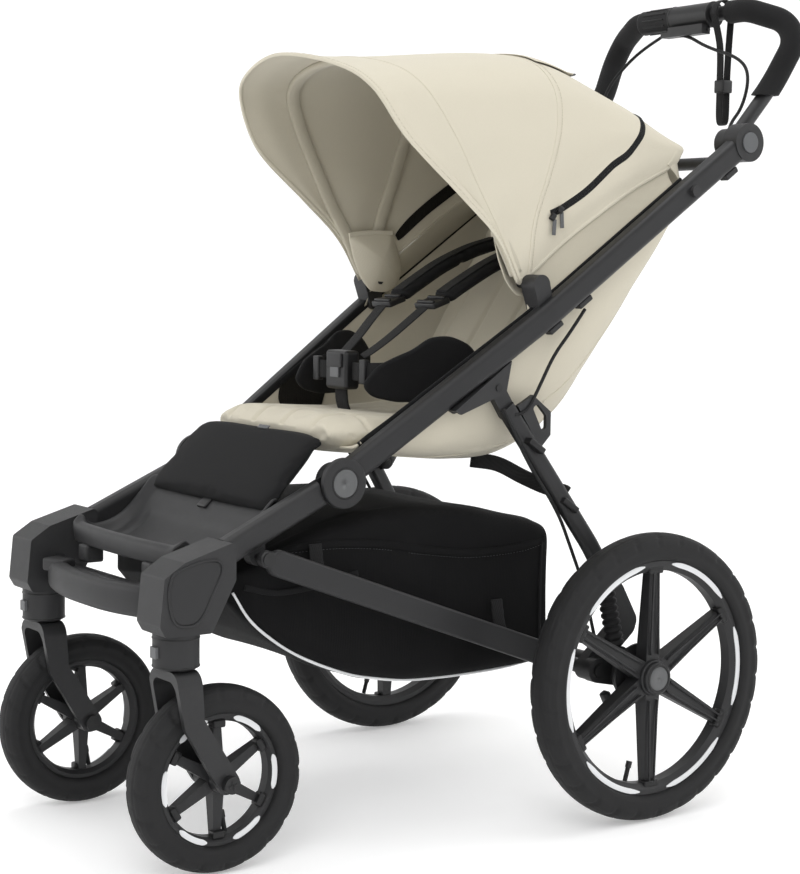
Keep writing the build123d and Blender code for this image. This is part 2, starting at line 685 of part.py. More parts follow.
def handlebar_cables():
    """One of the two brake cables, from the module along the bar to the hub's inner face."""
    y = grip_y - 13
    z = handle_top_z - 26
    return tube([(module_left - 3.8, y, z), (module_left + 34, y, z), (module_left + 88, y - 6, z - 26),
                 (164, y - 10, z - 74), (162, handle_axis[0] + 58, handle_axis[1] + 58),
                 (162, handle_axis[0] + 14, handle_axis[1] + 16),
                 (handle_inner_hub_in - 1.0, handle_axis[0] + 9, handle_axis[1] + 11)],
                [60, 60, 60, 60, 9], cable_radius)


# Rear legs -----------------------------------------------------------------------------------------------------

leg_top_x = on_rail(leg_axis[0])[0]
leg_knee = (236.0, 268.0, 370.0)
leg_end = (246.0, 322.0, 262.0)
foot_in = 238.0
foot_out = 254.0
arm_in = foot_out + body_gap
arm_out = arm_in + 16


def rear_leg():
    """The bowed flat tube from the clevis to the foot, with its top eye."""
    top = (leg_top_x + 2, leg_axis[0] + 18, leg_axis[1] - 27)
    path = FilletPolyline(top, leg_knee, leg_end, radius=260)
    shape = sweep_section(RectangleRounded(leg_width, leg_depth, 7), path)
    eye = link(leg_axis, 12, (leg_axis[0] + 22, leg_axis[1] - 33), 12, leg_top_x - leg_half, leg_top_x + leg_half)
    shape += eye
    shape -= rod_x(leg_axis, pin_radius + running_gap, leg_top_x - 30, leg_top_x + 30)
    return shape.solids().sort_by(SortBy.VOLUME)[-1]


bellows_top = (266.0, 316.0)
bellows_low = (287.0, 236.0)
bellows_x = 269.0


def leg_foot():
    """The foot casting below each leg: its socket, the swing arm's pivot and the upper seat of the bellows."""
    shape = link((leg_end[1] - 2, leg_end[2] - 2), 17, arm_axis, 16, foot_in, foot_out)
    shape += link((leg_end[1] - 2, leg_end[2] + 4), 17, (leg_knee[1] + 30, leg_knee[2] - 62), 15, foot_in - 4,
                  foot_out + 2)
    shape += rod_x((bellows_top[0] + 2, bellows_top[1] + 8), 8, foot_in, bellows_x + 12)
    shape += link((bellows_top[0] + 2, bellows_top[1] + 8), 8, (leg_knee[1] + 24, leg_knee[2] - 62), 8, foot_in,
                  foot_out)
    path = FilletPolyline((leg_top_x + 2, leg_axis[0] + 18, leg_axis[1] - 27), leg_knee, leg_end, radius=260)
    shape -= sweep_section(RectangleRounded(leg_width + 0.2, leg_depth + 0.2, 7), path)
    shape -= rod_x(arm_axis, pin_radius + running_gap, foot_in - 10, foot_out + 10)
    return shape.solids().sort_by(SortBy.VOLUME)[-1]


def leg_brackets():
    """The folding hook plate behind each leg, with its oval hole."""
    x = leg_top_x + 5
    hook = plate([(145.4, 571.9), (172, 586), (204, 562), (204, 530), (186.2, 512.4)], x, x + 6)
    hook -= plate([(172, 568), (180, 574), (196, 557), (196, 540), (189, 536)], x - 1, x + 7, 4)
    return both(hook)


# Lower rails -------------------------------------------------------------------------------------------------

def lower_rail():
    """The straight flat tube from the front lug to the foot, round at both ends."""
    x0 = lower_rail_x - lower_rail_width / 2
    end = (arm_axis[0] - 6, arm_axis[1] + 3)
    bar = link(lower_rail_axis, 11, end, 14, x0, x0 + lower_rail_width)
    middle_a = (lower_rail_axis[0] + 18, lower_rail_axis[1] - 7)
    bar += link(middle_a, lower_rail_height / 2, end, lower_rail_height / 2, x0, x0 + lower_rail_width)
    bar = fillet(bar.faces().sort_by(Axis.X)[0].edges() + bar.faces().sort_by(Axis.X)[-1].edges(), 4)
    bar -= rod_x(lower_rail_axis, pin_radius + running_gap, x0 - 1, x0 + lower_rail_width + 1)
    return bar


# Rear axle ---------------------------------------------------------------------------------------------------

def swing_arm():
    """The trailing arm between the foot's pivot and the wheel's axle, with the bellows seat and brake back plate."""
    shape = link(arm_axis, 17, rear_axle, 23, arm_in, arm_out)
    seat = link((bellows_low[0] + 2, bellows_low[1] - 12), 13, rear_axle, 14, arm_in, arm_out + 8)
    shape += seat
    shape += rod_x(rear_axle, 30, arm_out, arm_out + 5)
    shape -= rod_x(arm_axis, pin_radius + running_gap, arm_in - 2, arm_out + 2)
    shape -= rod_x(rear_axle, rear_axle_radius + 0.01, arm_in - 2, arm_out + 20)
    return shape


def arm_pins():
    """The swing arms' pivot pins. Their inner spacers reach to the lower rails' rear ends."""
    rail_out = lower_rail_x + lower_rail_width / 2
    pin = rod_x(arm_axis, pin_radius, rail_out + body_gap, arm_out + body_gap)
    pin += rod_x(arm_axis, 10, rail_out + body_gap, foot_in - body_gap)
    pin += rod_x(arm_axis, 9, arm_out + body_gap, arm_out + 4)
    return both(pin)


def rear_axle_tube():
    """The tube between the two swing arms."""
    return rod_x(rear_axle, 12, -arm_in, arm_in) - rod_x(rear_axle, rear_axle_radius + 0.01, -arm_in - 1, arm_in + 1)


def rear_axle_rod():
    """The through axle that both rear wheels turn on."""
    end = rear_wheel_x + rear_hub_out - 2
    return rod_x(rear_axle, rear_axle_radius, -end, end)


def bellows():
    """The ribbed suspension bellows over its elastomer."""
    (y0, z0), (y1, z1) = bellows_low, bellows_top
    length = ((y1 - y0) ** 2 + (z1 - z0) ** 2) ** 0.5
    tilt = degrees(atan2(z1 - z0, y1 - y0))
    ribs = 7
    pitch = (length - 2) / ribs
    shape = None
    for n in range(ribs):
        ring = Pos(0, 0, pitch * (n + 0.5)) * Cylinder(13, pitch * 0.62)
        core = Pos(0, 0, pitch * (n + 0.5)) * Cylinder(10, pitch)
        shape = ring + core if shape is None else shape + ring + core
    return both(Pos(bellows_x, y0, z0) * Rot(X=tilt - 90) * Pos(0, 0, 1) * shape)


# Write every node ----------------------------------------------------------------------------------------------

foam = handlebar_foam()
centre_y = (foam.bounding_box().max.Y - front_reach) / 2


def save(name, shape):
    solids = [Pos(0, -centre_y, 0) * s for s in shape.solids()]
    export_step(Compound(children=solids) if len(solids) > 1 else solids[0], f"parts/{name}.step")


def write_parts():
    os.makedirs("parts", exist_ok=True)
    for name, s in (("left", 1), ("right", -1)):
        for piece, shape in (("tyre", rear_tyre), ("rim", rear_rim), ("hub_cap", rear_hub_cap)):
            save(f"rear_{piece}_{name}", place_wheel(shape, s, rear_wheel_x, rear_axle))
        for piece, shape in (("tyre", front_tyre), ("rim", front_rim)):
            save(f"front_{piece}_{name}", place_wheel(shape, s, caster_x, front_axle))
        for piece, shape in (("fork", Pos(caster_x, 0, 0) * fork()),
                             ("front_axle", Pos(caster_x, 0, 0) * front_axle_bolt()),
                             ("caster_button", caster_button()), ("handle_button", handle_button())):
            save(f"{piece}_{name}", shape if s > 0 else mirror(shape, about=Plane.YZ))
    pieces = {
        "front_rails": both(front_rail()), "caster_castings": both(caster_casting()),
        "cross_member": cross_member(), "foot_tray": foot_tray(), "calf_panel": calf_panel(),
        "front_pins": front_pins(), "basket": basket(),
        "upper_rails": both(upper_rail()), "fold_covers": both(fold_cover()), "upper_pins": upper_pins(),
        "cross_bar": cross_bar(), "leg_gussets": both(leg_gusset()), "rail_clips": rail_clips(),
        "seat_pan": seat_pan(), "seat_side_walls": seat_side_walls(), "backrest": backrest(),
        "shoulder_pads": shoulder_pads(), "shoulder_sliders": shoulder_sliders(),
        "harness_webbing": harness_webbing(), "harness_buckle": harness_buckle(),
        "buckle_button": buckle_button(), "lap_straps": lap_straps(),
        "canopy_rear": canopy_sector(canopy_rear_radius, canopy_rear_start, canopy_split),
        "canopy_front": canopy_sector(canopy_front_radius, canopy_split - canopy_overlap, canopy_front_end),
        "canopy_bow": canopy_bow(canopy_front_end - 4, front_bow_half, front_bow_radius),
        "canopy_rear_bow": canopy_bow(62, rear_bow_half, rear_bow_radius),
        "canopy_blocks": canopy_blocks(),
        "handlebar_tube": handlebar_tube(), "handlebar_foam": foam, "brake_module": brake_module(),
        "brake_grip": brake_grip(), "wrist_strap": wrist_strap(), "handlebar_cables": both(handlebar_cables()),
        "rear_legs": both(rear_leg()), "leg_feet": both(leg_foot()), "leg_brackets": leg_brackets(),
        "lower_rails": both(lower_rail()),
        "swing_arms": both(swing_arm()), "arm_pins": arm_pins(), "rear_axle_tube": rear_axle_tube(),
        "rear_axle_rod": rear_axle_rod(), "bellows": bellows(),
    }
    for name, shape in pieces.items():
        save(name, shape)


write_parts()
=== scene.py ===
import bpy
import bmesh
import json
import numpy as np
from math import cos, pi, radians, sin, sqrt
from mathutils import Matrix, Vector
from mathutils.bvhtree import BVHTree


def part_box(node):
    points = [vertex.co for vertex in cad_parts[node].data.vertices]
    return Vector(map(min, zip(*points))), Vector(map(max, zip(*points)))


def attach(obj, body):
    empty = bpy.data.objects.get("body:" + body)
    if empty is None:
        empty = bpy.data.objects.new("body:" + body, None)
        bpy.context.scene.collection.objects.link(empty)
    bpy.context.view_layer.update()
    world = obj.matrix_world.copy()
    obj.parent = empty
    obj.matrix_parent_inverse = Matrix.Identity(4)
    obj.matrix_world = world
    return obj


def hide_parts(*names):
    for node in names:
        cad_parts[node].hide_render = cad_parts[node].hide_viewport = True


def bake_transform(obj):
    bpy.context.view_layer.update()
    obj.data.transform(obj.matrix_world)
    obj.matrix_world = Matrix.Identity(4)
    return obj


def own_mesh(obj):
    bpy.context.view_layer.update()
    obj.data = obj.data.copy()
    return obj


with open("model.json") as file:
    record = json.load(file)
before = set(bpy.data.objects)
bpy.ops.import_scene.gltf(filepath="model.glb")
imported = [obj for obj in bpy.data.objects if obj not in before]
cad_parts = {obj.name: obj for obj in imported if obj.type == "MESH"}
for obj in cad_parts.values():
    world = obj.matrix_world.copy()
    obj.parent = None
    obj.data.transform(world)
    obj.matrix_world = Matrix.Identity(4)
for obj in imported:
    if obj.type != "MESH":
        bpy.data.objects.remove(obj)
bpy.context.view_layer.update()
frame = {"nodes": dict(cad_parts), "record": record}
print("frame loaded")

# every place below is metres from the point midway between the axles, on the floor
pivots = {j["name"]: Vector(j["pos_m"]) for j in frame["record"]["behaviour"]["joints"] if "pos_m" in j}
mid = (pivots["rear_spin_left"].y + pivots["front_spin_left"].y) / 2


def at(x, y, z):
    return Vector((x, y + mid, z))


leftFirst = ((1, "left"), (-1, "right"))
rightFirst = leftFirst[::-1]


# the view
camera = {"place": (2.2139, -1.475, 0.7615), "yaw": 54.4614, "pitch": 5.2066, "roll": 0.7171, "lens": 78.35}


def makeCamera():
    yaw, pitch, roll = (radians(camera[k]) for k in ("yaw", "pitch", "roll"))
    forward = Vector((-sin(yaw) * cos(pitch), cos(yaw) * cos(pitch), -sin(pitch)))
    right = Vector((cos(yaw), sin(yaw), 0))
    up = right.cross(forward)
    right2 = right * cos(roll) + up * sin(roll)
    up2 = up * cos(roll) - right * sin(roll)
    cam = bpy.data.objects.new("viewCamera", bpy.data.cameras.new("viewCamera"))
    cam.data.lens = camera["lens"]
    turn = Matrix((right2, up2, -forward)).transposed()
    cam.matrix_world = Matrix.Translation(at(*camera["place"])) @ turn.to_4x4()
    bpy.context.scene.collection.objects.link(cam)
    bpy.context.scene.camera = cam


makeCamera()

# node groups that the finishes share


def startGroup(name, ins, outs):
    tree = bpy.data.node_groups.new(name, "ShaderNodeTree")
    for label, kind, value in ins:
        socket = tree.interface.new_socket(label, in_out="INPUT", socket_type="NodeSocket" + kind)
        if value is not None:
            socket.default_value = value
    for label in outs:
        tree.interface.new_socket(label, in_out="OUTPUT", socket_type="NodeSocketFloat")
    return tree, tree.nodes.new("NodeGroupInput"), tree.nodes.new("NodeGroupOutput")


def mathNode(tree, kind, a, b=0.5):
    node = tree.nodes.new("ShaderNodeMath")
    node.operation = kind
    for n, value in enumerate((a, b)):
        if isinstance(value, bpy.types.NodeSocket):
            tree.links.new(value, node.inputs[n])
        else:
            node.inputs[n].default_value = value
    return node.outputs[0]


def noiseNode(tree, vector, scale, detail=2.0, rough=0.5):
    node = tree.nodes.new("ShaderNodeTexNoise")
    node.inputs["Scale"].default_value = scale
    node.inputs["Detail"].default_value = detail
    node.inputs["Roughness"].default_value = rough
    tree.links.new(vector, node.inputs["Vector"])
    return node


def scaleBy(tree, vector, socket):
    node = tree.nodes.new("ShaderNodeVectorMath")
    node.operation = "SCALE"
    tree.links.new(vector, node.inputs[0])
    tree.links.new(socket, node.inputs["Scale"])
    return node.outputs[0]


def weaveGroup():
    # plain weave that reads on any face: two crossing waves of the position, plus slubs and soft mottling
    tree, gin, gout = startGroup("plainWeave", [("Vector", "Vector", None), ("Threads", "Float", 900.0),
                                               ("Slub", "Float", 0.3)], ["Height", "Shade", "Mottle"])
    turned = scaleBy(tree, gin.outputs["Vector"], gin.outputs["Threads"])
    xyz = tree.nodes.new("ShaderNodeSeparateXYZ")
    tree.links.new(turned, xyz.inputs[0])
    a = mathNode(tree, "SINE", mathNode(tree, "ADD", xyz.outputs[0], xyz.outputs[2]))
    b = mathNode(tree, "SINE", mathNode(tree, "ADD", xyz.outputs[1], xyz.outputs[2]))
    cross = mathNode(tree, "MULTIPLY", a, b)
    slub = noiseNode(tree, gin.outputs["Vector"], 420.0, 2.0).outputs["Fac"]
    high = mathNode(tree, "ADD", mathNode(tree, "MULTIPLY", cross, 0.5),
                    mathNode(tree, "MULTIPLY", slub, gin.outputs["Slub"]))
    tree.links.new(high, gout.inputs["Height"])
    tree.links.new(mathNode(tree, "ADD", mathNode(tree, "MULTIPLY", cross, 0.25), slub), gout.inputs["Shade"])
    tree.links.new(noiseNode(tree, gin.outputs["Vector"], 9.0, 4.0).outputs["Fac"], gout.inputs["Mottle"])
    return tree


def grainGroup():
    # moulded or coated skin: fine pebble, a wider unevenness and faint scuffs
    tree, gin, gout = startGroup("skinGrain", [("Vector", "Vector", None), ("Grain", "Float", 1200.0)],
                                 ["Height", "Shade", "Mottle"])
    scaled = scaleBy(tree, gin.outputs["Vector"], gin.outputs["Grain"])
    pebble = tree.nodes.new("ShaderNodeTexVoronoi")
    pebble.inputs["Scale"].default_value = 1.0
    tree.links.new(scaled, pebble.inputs["Vector"])
    fine = noiseNode(tree, scaled, 1.6, 3.0).outputs["Fac"]
    tree.links.new(mathNode(tree, "ADD", pebble.outputs["Distance"], fine), gout.inputs["Height"])
    tree.links.new(noiseNode(tree, gin.outputs["Vector"], 60.0, 5.0, 0.7).outputs["Fac"], gout.inputs["Shade"])
    tree.links.new(noiseNode(tree, gin.outputs["Vector"], 7.0, 3.0).outputs["Fac"], gout.inputs["Mottle"])
    return tree


# Pointiness of a face that is nearly flat
flatPointiness = 0.53


def edgeHighlightGroup():
    # painted highlight where an edge stands out, broken up by noise
    tree, gin, gout = startGroup("paintedEdgeHighlight", [("Vector", "Vector", None), ("Sharpness", "Float", 9.0)],
            ["Mask"])
    shape = tree.nodes.new("ShaderNodeNewGeometry")
    lift = mathNode(tree, "MULTIPLY", mathNode(tree, "SUBTRACT", shape.outputs["Pointiness"], flatPointiness),
                    gin.outputs["Sharpness"])
    rough = noiseNode(tree, gin.outputs["Vector"], 160.0, 4.0, 0.7).outputs["Fac"]
    mask = tree.nodes.new("ShaderNodeClamp")
    tree.links.new(mathNode(tree, "MULTIPLY", lift, rough), mask.inputs[0])
    tree.links.new(mask.outputs[0], gout.inputs["Mask"])
    return tree


groups = {"weave": weaveGroup(), "grain": grainGroup(), "edgeHighlight": edgeHighlightGroup()}

# every finish; vary is how much its colour wanders, edgeHighlight how much paler its edges are made as a
# painted highlight
finishKeys = ("skin", "scale", "colour", "rough", "relief", "depth", "vary", "sheen", "metal", "edgeHighlight", "spec")
finishes = {
    "beigeCloth": ("weave", 3600.0, (0.56, 0.522, 0.425), 0.86, 0.35, 0.0004, 0.05, 0.12, 0.0, 0.0, 0.2),
    # a darker copy of beigeCloth: painted shade for the canopy's inside, the side wings and the stitches
    "shadedBeige": ("weave", 3600.0, (0.47, 0.436, 0.35), 0.9, 0.35, 0.0004, 0.05, 0.2, 0.0, 0.0, 0.2),
    "blackCloth": ("weave", 3000.0, (0.0085, 0.0085, 0.009), 0.84, 0.5, 0.0005, 0.22, 0.03, 0.0, 0.0, 0.15),
    "basketCloth": ("weave", 2600.0, (0.0055, 0.0055, 0.0058), 0.78, 0.5, 0.0005, 0.3, 0.01, 0.0, 0.0, 0.1),
    "webbing": ("weave", 2100.0, (0.008, 0.008, 0.0085), 0.7, 0.8, 0.0007, 0.25, 0.04, 0.0, 0.0, 0.2),
    "meshCloth": ("weave", 1500.0, (0.014, 0.013, 0.011), 0.9, 0.9, 0.0009, 0.3, 0.02, 0.0, 0.0, 0.1),
    "framePaint": ("grain", 1500.0, (0.019, 0.019, 0.02), 0.46, 0.1, 0.0002, 0.1, 0.0, 0.25, 0.012, 0.4),
    "castPlastic": ("grain", 1300.0, (0.0165, 0.0165, 0.0175), 0.52, 0.18, 0.0003, 0.12, 0.0, 0.0, 0.012, 0.35),
    "rimPlastic": ("grain", 1300.0, (0.016, 0.016, 0.017), 0.48, 0.15, 0.0003, 0.12, 0.0, 0.0, 0.012, 0.35),
    "darkPlastic": ("grain", 1600.0, (0.0075, 0.0075, 0.008), 0.42, 0.15, 0.0002, 0.15, 0.0, 0.0, 0.012, 0.35),
    "greyPlastic": ("grain", 1600.0, (0.085, 0.088, 0.092), 0.45, 0.12, 0.0002, 0.1, 0.0, 0.0, 0.012, 0.4),
    "badgeGrey": ("grain", 1800.0, (0.105, 0.107, 0.109), 0.4, 0.1, 0.0002, 0.06, 0.0, 0.4, 0.012, 0.4),
    "tyreRubber": ("grain", 900.0, (0.0135, 0.0135, 0.014), 0.68, 0.3, 0.0004, 0.2, 0.0, 0.0, 0.012, 0.25),
    "softRubber": ("grain", 1100.0, (0.008, 0.008, 0.0084), 0.6, 0.3, 0.0004, 0.15, 0.0, 0.0, 0.012, 0.25),
    "gripFoam": ("grain", 1000.0, (0.0105, 0.0105, 0.011), 0.9, 0.55, 0.0007, 0.18, 0.03, 0.0, 0.0, 0.2),
    "steelPin": ("grain", 1500.0, (0.42, 0.42, 0.43), 0.34, 0.08, 0.0001, 0.08, 0.0, 1.0, 0.012, 0.5),
    "reflective": ("grain", 2600.0, (0.72, 0.73, 0.74), 0.35, 0.2, 0.0002, 0.05, 0.0, 0.2, 0.0, 0.5),
    "pipingGrey": ("weave", 3000.0, (0.62, 0.62, 0.6), 0.6, 0.3, 0.0003, 0.06, 0.0, 0.0, 0.0, 0.5),
}


glossSpread = 0.06


def makeFinish(name):
    look = dict(zip(finishKeys, finishes[name]))
    mat = bpy.data.materials.new(name)
    mat.use_nodes = True
    tree = mat.node_tree
    shader = tree.nodes["Principled BSDF"]
    place = tree.nodes.new("ShaderNodeTexCoord").outputs["Object"]
    skin = tree.nodes.new("ShaderNodeGroup")
    skin.node_tree = groups[look["skin"]]
    tree.links.new(place, skin.inputs["Vector"])
    skin.inputs[1].default_value = look["scale"]
    base = look["colour"]
    ramp = tree.nodes.new("ShaderNodeMix")
    ramp.data_type = "RGBA"
    ramp.inputs["A"].default_value = (*[c * (1 - look["vary"]) for c in base], 1)
    ramp.inputs["B"].default_value = (*[min(1, c * (1 + look["vary"])) for c in base], 1)
    blendIn = mathNode(tree, "ADD", mathNode(tree, "MULTIPLY", skin.outputs["Shade"], 0.5),
                       mathNode(tree, "MULTIPLY", skin.outputs["Mottle"], 0.5))
    tree.links.new(blendIn, ramp.inputs["Factor"])
    colour = ramp.outputs["Result"]
    # painted highlight: edges made paler where the edge mask stands out
    if look["edgeHighlight"]:
        highlightNode = tree.nodes.new("ShaderNodeGroup")
        highlightNode.node_tree = groups["edgeHighlight"]
        tree.links.new(place, highlightNode.inputs["Vector"])
        highlightMix = tree.nodes.new("ShaderNodeMix")
        highlightMix.data_type = "RGBA"
        highlightMix.inputs["B"].default_value = (*[min(1, c + look["edgeHighlight"]) for c in base], 1)
        tree.links.new(highlightNode.outputs["Mask"], highlightMix.inputs["Factor"])
        tree.links.new(colour, highlightMix.inputs["A"])
        colour = highlightMix.outputs["Result"]
    tree.links.new(colour, shader.inputs["Base Color"])
    gloss = tree.nodes.new("ShaderNodeMapRange")
    gloss.inputs["To Min"].default_value = look["rough"] - glossSpread
    gloss.inputs["To Max"].default_value = look["rough"] + glossSpread
    tree.links.new(skin.outputs["Shade"], gloss.inputs["Value"])
    tree.links.new(gloss.outputs["Result"], shader.inputs["Roughness"])
    shader.inputs["Metallic"].default_value = look["metal"]
    shader.inputs["Sheen Weight"].default_value = look["sheen"]
    shader.inputs["Specular IOR Level"].default_value = look["spec"]
    bump = tree.nodes.new("ShaderNodeBump")
    bump.inputs["Strength"].default_value = look["relief"]
    bump.inputs["Distance"].default_value = look["depth"]
    tree.links.new(skin.outputs["Height"], bump.inputs["Height"])
    tree.links.new(bump.outputs["Normal"], shader.inputs["Normal"])
    return mat


materials = {name: makeFinish(name) for name in finishes}

# CAD nodes that stay in view, by finish
nodeFinish = {
    "framePaint": ["front_rails", "upper_rails", "rear_legs", "lower_rails", "cross_bar", "handlebar_tube",
                   "swing_arms", "rear_axle_tube", "fork_left", "fork_right"],
    "castPlastic": ["caster_castings", "cross_member", "fold_covers", "leg_gussets", "leg_feet",
                    "leg_brackets", "canopy_blocks", "rail_clips"],
    "rimPlastic": ["rear_rim_left", "rear_rim_right", "front_rim_left", "front_rim_right",
                   "rear_hub_cap_left", "rear_hub_cap_right"],
    "darkPlastic": ["harness_buckle", "shoulder_sliders", "brake_module", "front_axle_left",
                    "front_axle_right", "handlebar_cables", "front_pins", "upper_pins", "arm_pins"],
    "greyPlastic": ["caster_button_left", "caster_button_right", "handle_button_left",
                    "handle_button_right", "buckle_button"],
    "gripFoam": ["handlebar_foam"],
    "softRubber": ["brake_grip", "bellows"],
    "steelPin": ["rear_axle_rod"],
}
for finish, nodes in nodeFinish.items():
    for node in nodes:
        obj = frame["nodes"][node]
        obj.data.materials.clear()
        obj.data.materials.append(materials[finish])
print("finishes made")

# mesh helpers


def spline(points, count):
    # a smooth line through the points, evenly divided by their order
    pts = np.array([tuple(p) for p in points], float)
    pts = np.vstack([2 * pts[0] - pts[1], pts, 2 * pts[-1] - pts[-2]])
    t = np.linspace(0, len(pts) - 3 - 1e-9, count)
    k = t.astype(int)
    f = (t - k)[:, None]
    a, b, c, d = pts[k], pts[k + 1], pts[k + 2], pts[k + 3]
    return 0.5 * (2 * b + (c - a) * f + (2 * a - 5 * b + 4 * c - d) * f ** 2 + (3 * b - a - 3 * c + d) * f ** 3)


def shade(mesh, smooth=True):
    mesh.polygons.foreach_set("use_smooth", [smooth] * len(mesh.polygons))


def addObject(name, data, finish=None):
    obj = bpy.data.objects.new(name, data)
    bpy.context.scene.collection.objects.link(obj)
    if finish:
        data.materials.append(materials[finish])
    return obj


def unit(vectors):
    # rows made one long
    return vectors / np.linalg.norm(vectors, axis=-1)[..., None]


def bend(value, power):
    # a superellipse's coordinate from a sine or cosine
    return np.sign(value) * abs(value) ** power


def mirror(s, points):
    return [(s * x, y, z) for x, y, z in points]


def newPiece(name, verts, faces, finish):
    mesh = bpy.data.meshes.new(name)
    mesh.from_pydata([tuple(v) for v in verts], [], faces)
    mesh.validate()
    mesh.update()
    shade(mesh)
    return addObject(name, mesh, finish)


def settle(obj):
    # the modifiers become the mesh
    bpy.context.view_layer.update()
    graph = bpy.context.evaluated_depsgraph_get()
    mesh = bpy.data.meshes.new_from_object(obj.evaluated_get(graph))
    obj.modifiers.clear()
    obj.data = mesh
    return obj


def gridPiece(name, grid, finish, thick=0.0, side=0.0, subdivide=0, closeRows=False, closeColumns=False,
        closeMiddle=False):
    # grid is rows x columns x 3, in metres from mid-axle
    grid = np.array(grid, float)
    rows, cols = grid.shape[:2]
    verts = grid.reshape(-1, 3) + np.array((0, mid, 0))
    faces = []
    for r in range(rows if closeRows else rows - 1):
        for c in range(cols if closeColumns else cols - 1):
            r2, c2 = (r + 1) % rows, (c + 1) % cols
            faces.append((r * cols + c, r * cols + c2, r2 * cols + c2, r2 * cols + c))
    if closeMiddle:
        faces.append([(rows - 1) * cols + c for c in range(cols)])
    obj = newPiece(name, verts, faces, finish)
    if thick:
        mod = obj.modifiers.new("thick", "SOLIDIFY")
        mod.thickness = thick
        mod.offset = side
        mod.use_even_offset = False
    if subdivide:
        mod = obj.modifiers.new("soft", "SUBSURF")
        mod.levels = mod.render_levels = subdivide
    if thick or subdivide:
        settle(obj)
        shade(obj.data)
    return obj


def frames(path, across):
    # widths and normals along a path, with the width kept near the given direction
    path = np.array(path, float)
    across = np.array(across, float)
    if across.ndim == 1:
        across = np.tile(across, (len(path), 1))
    tangent = unit(np.gradient(path, axis=0))
    width = unit(across - tangent * np.sum(across * tangent, axis=1)[:, None])
    return width, np.cross(tangent, width)


# points round the section of a strap and of a ribbon
strapSection, ribbonSection = 20, 16


def strapPiece(name, path, across, width, thick, finish, pad=2.2, count=60, ends=0.0):
    # a flat strap or padded bar: a superellipse section swept along a smooth path
    path = spline(path, count)
    if np.array(across).ndim == 2:
        across = spline(across, count)
    wide, normal = frames(path, across)
    turns = [2 * pi * n / strapSection for n in range(strapSection)]
    ring = [(bend(cos(a), 2 / (pad * 2)), bend(sin(a), 2 / pad)) for a in turns]
    grid = []
    for n in range(count):
        near = min(n, count - 1 - n) / (count - 1)
        grow = max(0.25, sqrt(1 - (1 - near / ends) ** 2)) if near < ends else 1.0
        grid.append([path[n] + wide[n] * a * width / 2 * grow + normal[n] * b * thick / 2 * grow
                for a, b in ring])
    obj = gridPiece(name, grid, finish, closeColumns=True)
    capEnds(obj, strapSection)
    return obj


def capEnds(obj, cols):
    mesh = obj.data
    bm = bmesh.new()
    bm.from_mesh(mesh)
    bm.verts.ensure_lookup_table()
    bm.faces.new([bm.verts[n] for n in range(cols)][::-1])
    bm.faces.new([bm.verts[len(bm.verts) - cols + n] for n in range(cols)])
    bmesh.ops.recalc_face_normals(bm, faces=bm.faces)
    bm.to_mesh(mesh)
    bm.free()


def cordPiece(name, points, radius, finish):
    # a round cord, piping or cable as a NURBS curve
    curve = bpy.data.curves.new(name, "CURVE")
    curve.dimensions = "3D"
    curve.bevel_depth = radius
    curve.bevel_resolution = 5
    curve.resolution_u = 8
    curve.use_fill_caps = True
    line = curve.splines.new("NURBS")
    line.points.add(len(points) - 1)
    for n, p in enumerate(points):
        line.points[n].co = (*at(*p), 1)
    line.order_u = 3
    line.use_endpoint_u = True
    return addObject(name, curve, finish)


def lathe(name, profile, centre, finish, segments=64):
    # profile of (x, radius) turned about the X axis through centre
    cx, cy, cz = centre
    turns = [2 * pi * n / segments for n in range(segments)]
    grid = [[(cx + x, cy + r * sin(a), cz + r * cos(a)) for x, r in profile] for a in turns]
    return tidyNormals(gridPiece(name, grid, finish, closeRows=True))


def tidyNormals(obj, merge=1e-6):
    bm = bmesh.new()
    bm.from_mesh(obj.data)
    bmesh.ops.remove_doubles(bm, verts=bm.verts, dist=merge)
    bmesh.ops.recalc_face_normals(bm, faces=bm.faces)
    bm.to_mesh(obj.data)
    bm.free()
    return obj


def blockPiece(name, centre, size, finish, turn=(0, 0, 0), rounding=0.002, segments=3):
    # a moulded block with rounded edges
    mesh = bpy.data.meshes.new(name)
    bm = bmesh.new()
    bmesh.ops.create_cube(bm, size=1.0)
    bmesh.ops.scale(bm, vec=size, verts=bm.verts)
    bmesh.ops.bevel(bm, geom=bm.edges[:], offset=rounding, segments=segments, profile=0.6, affect="EDGES")
    rotation = Matrix.Rotation(turn[2], 4, "Z") @ Matrix.Rotation(turn[1], 4, "Y") @ Matrix.Rotation(turn[0], 4,
            "X")
    bmesh.ops.transform(bm, matrix=Matrix.Translation(at(*centre)) @ rotation, verts=bm.verts)
    bm.to_mesh(mesh)
    bm.free()
    shade(mesh)
    return addObject(name, mesh, finish)


cloth = {"quality": 4, "tension_stiffness": 12, "compression_stiffness": 12, "shear_stiffness": 6, "mass": 0.3}
clothFrames = 20


def places(mesh, kind="co"):
    flat = np.zeros(len(mesh.vertices) * 3)
    mesh.vertices.foreach_get(kind, flat)
    return flat.reshape(-1, 3)


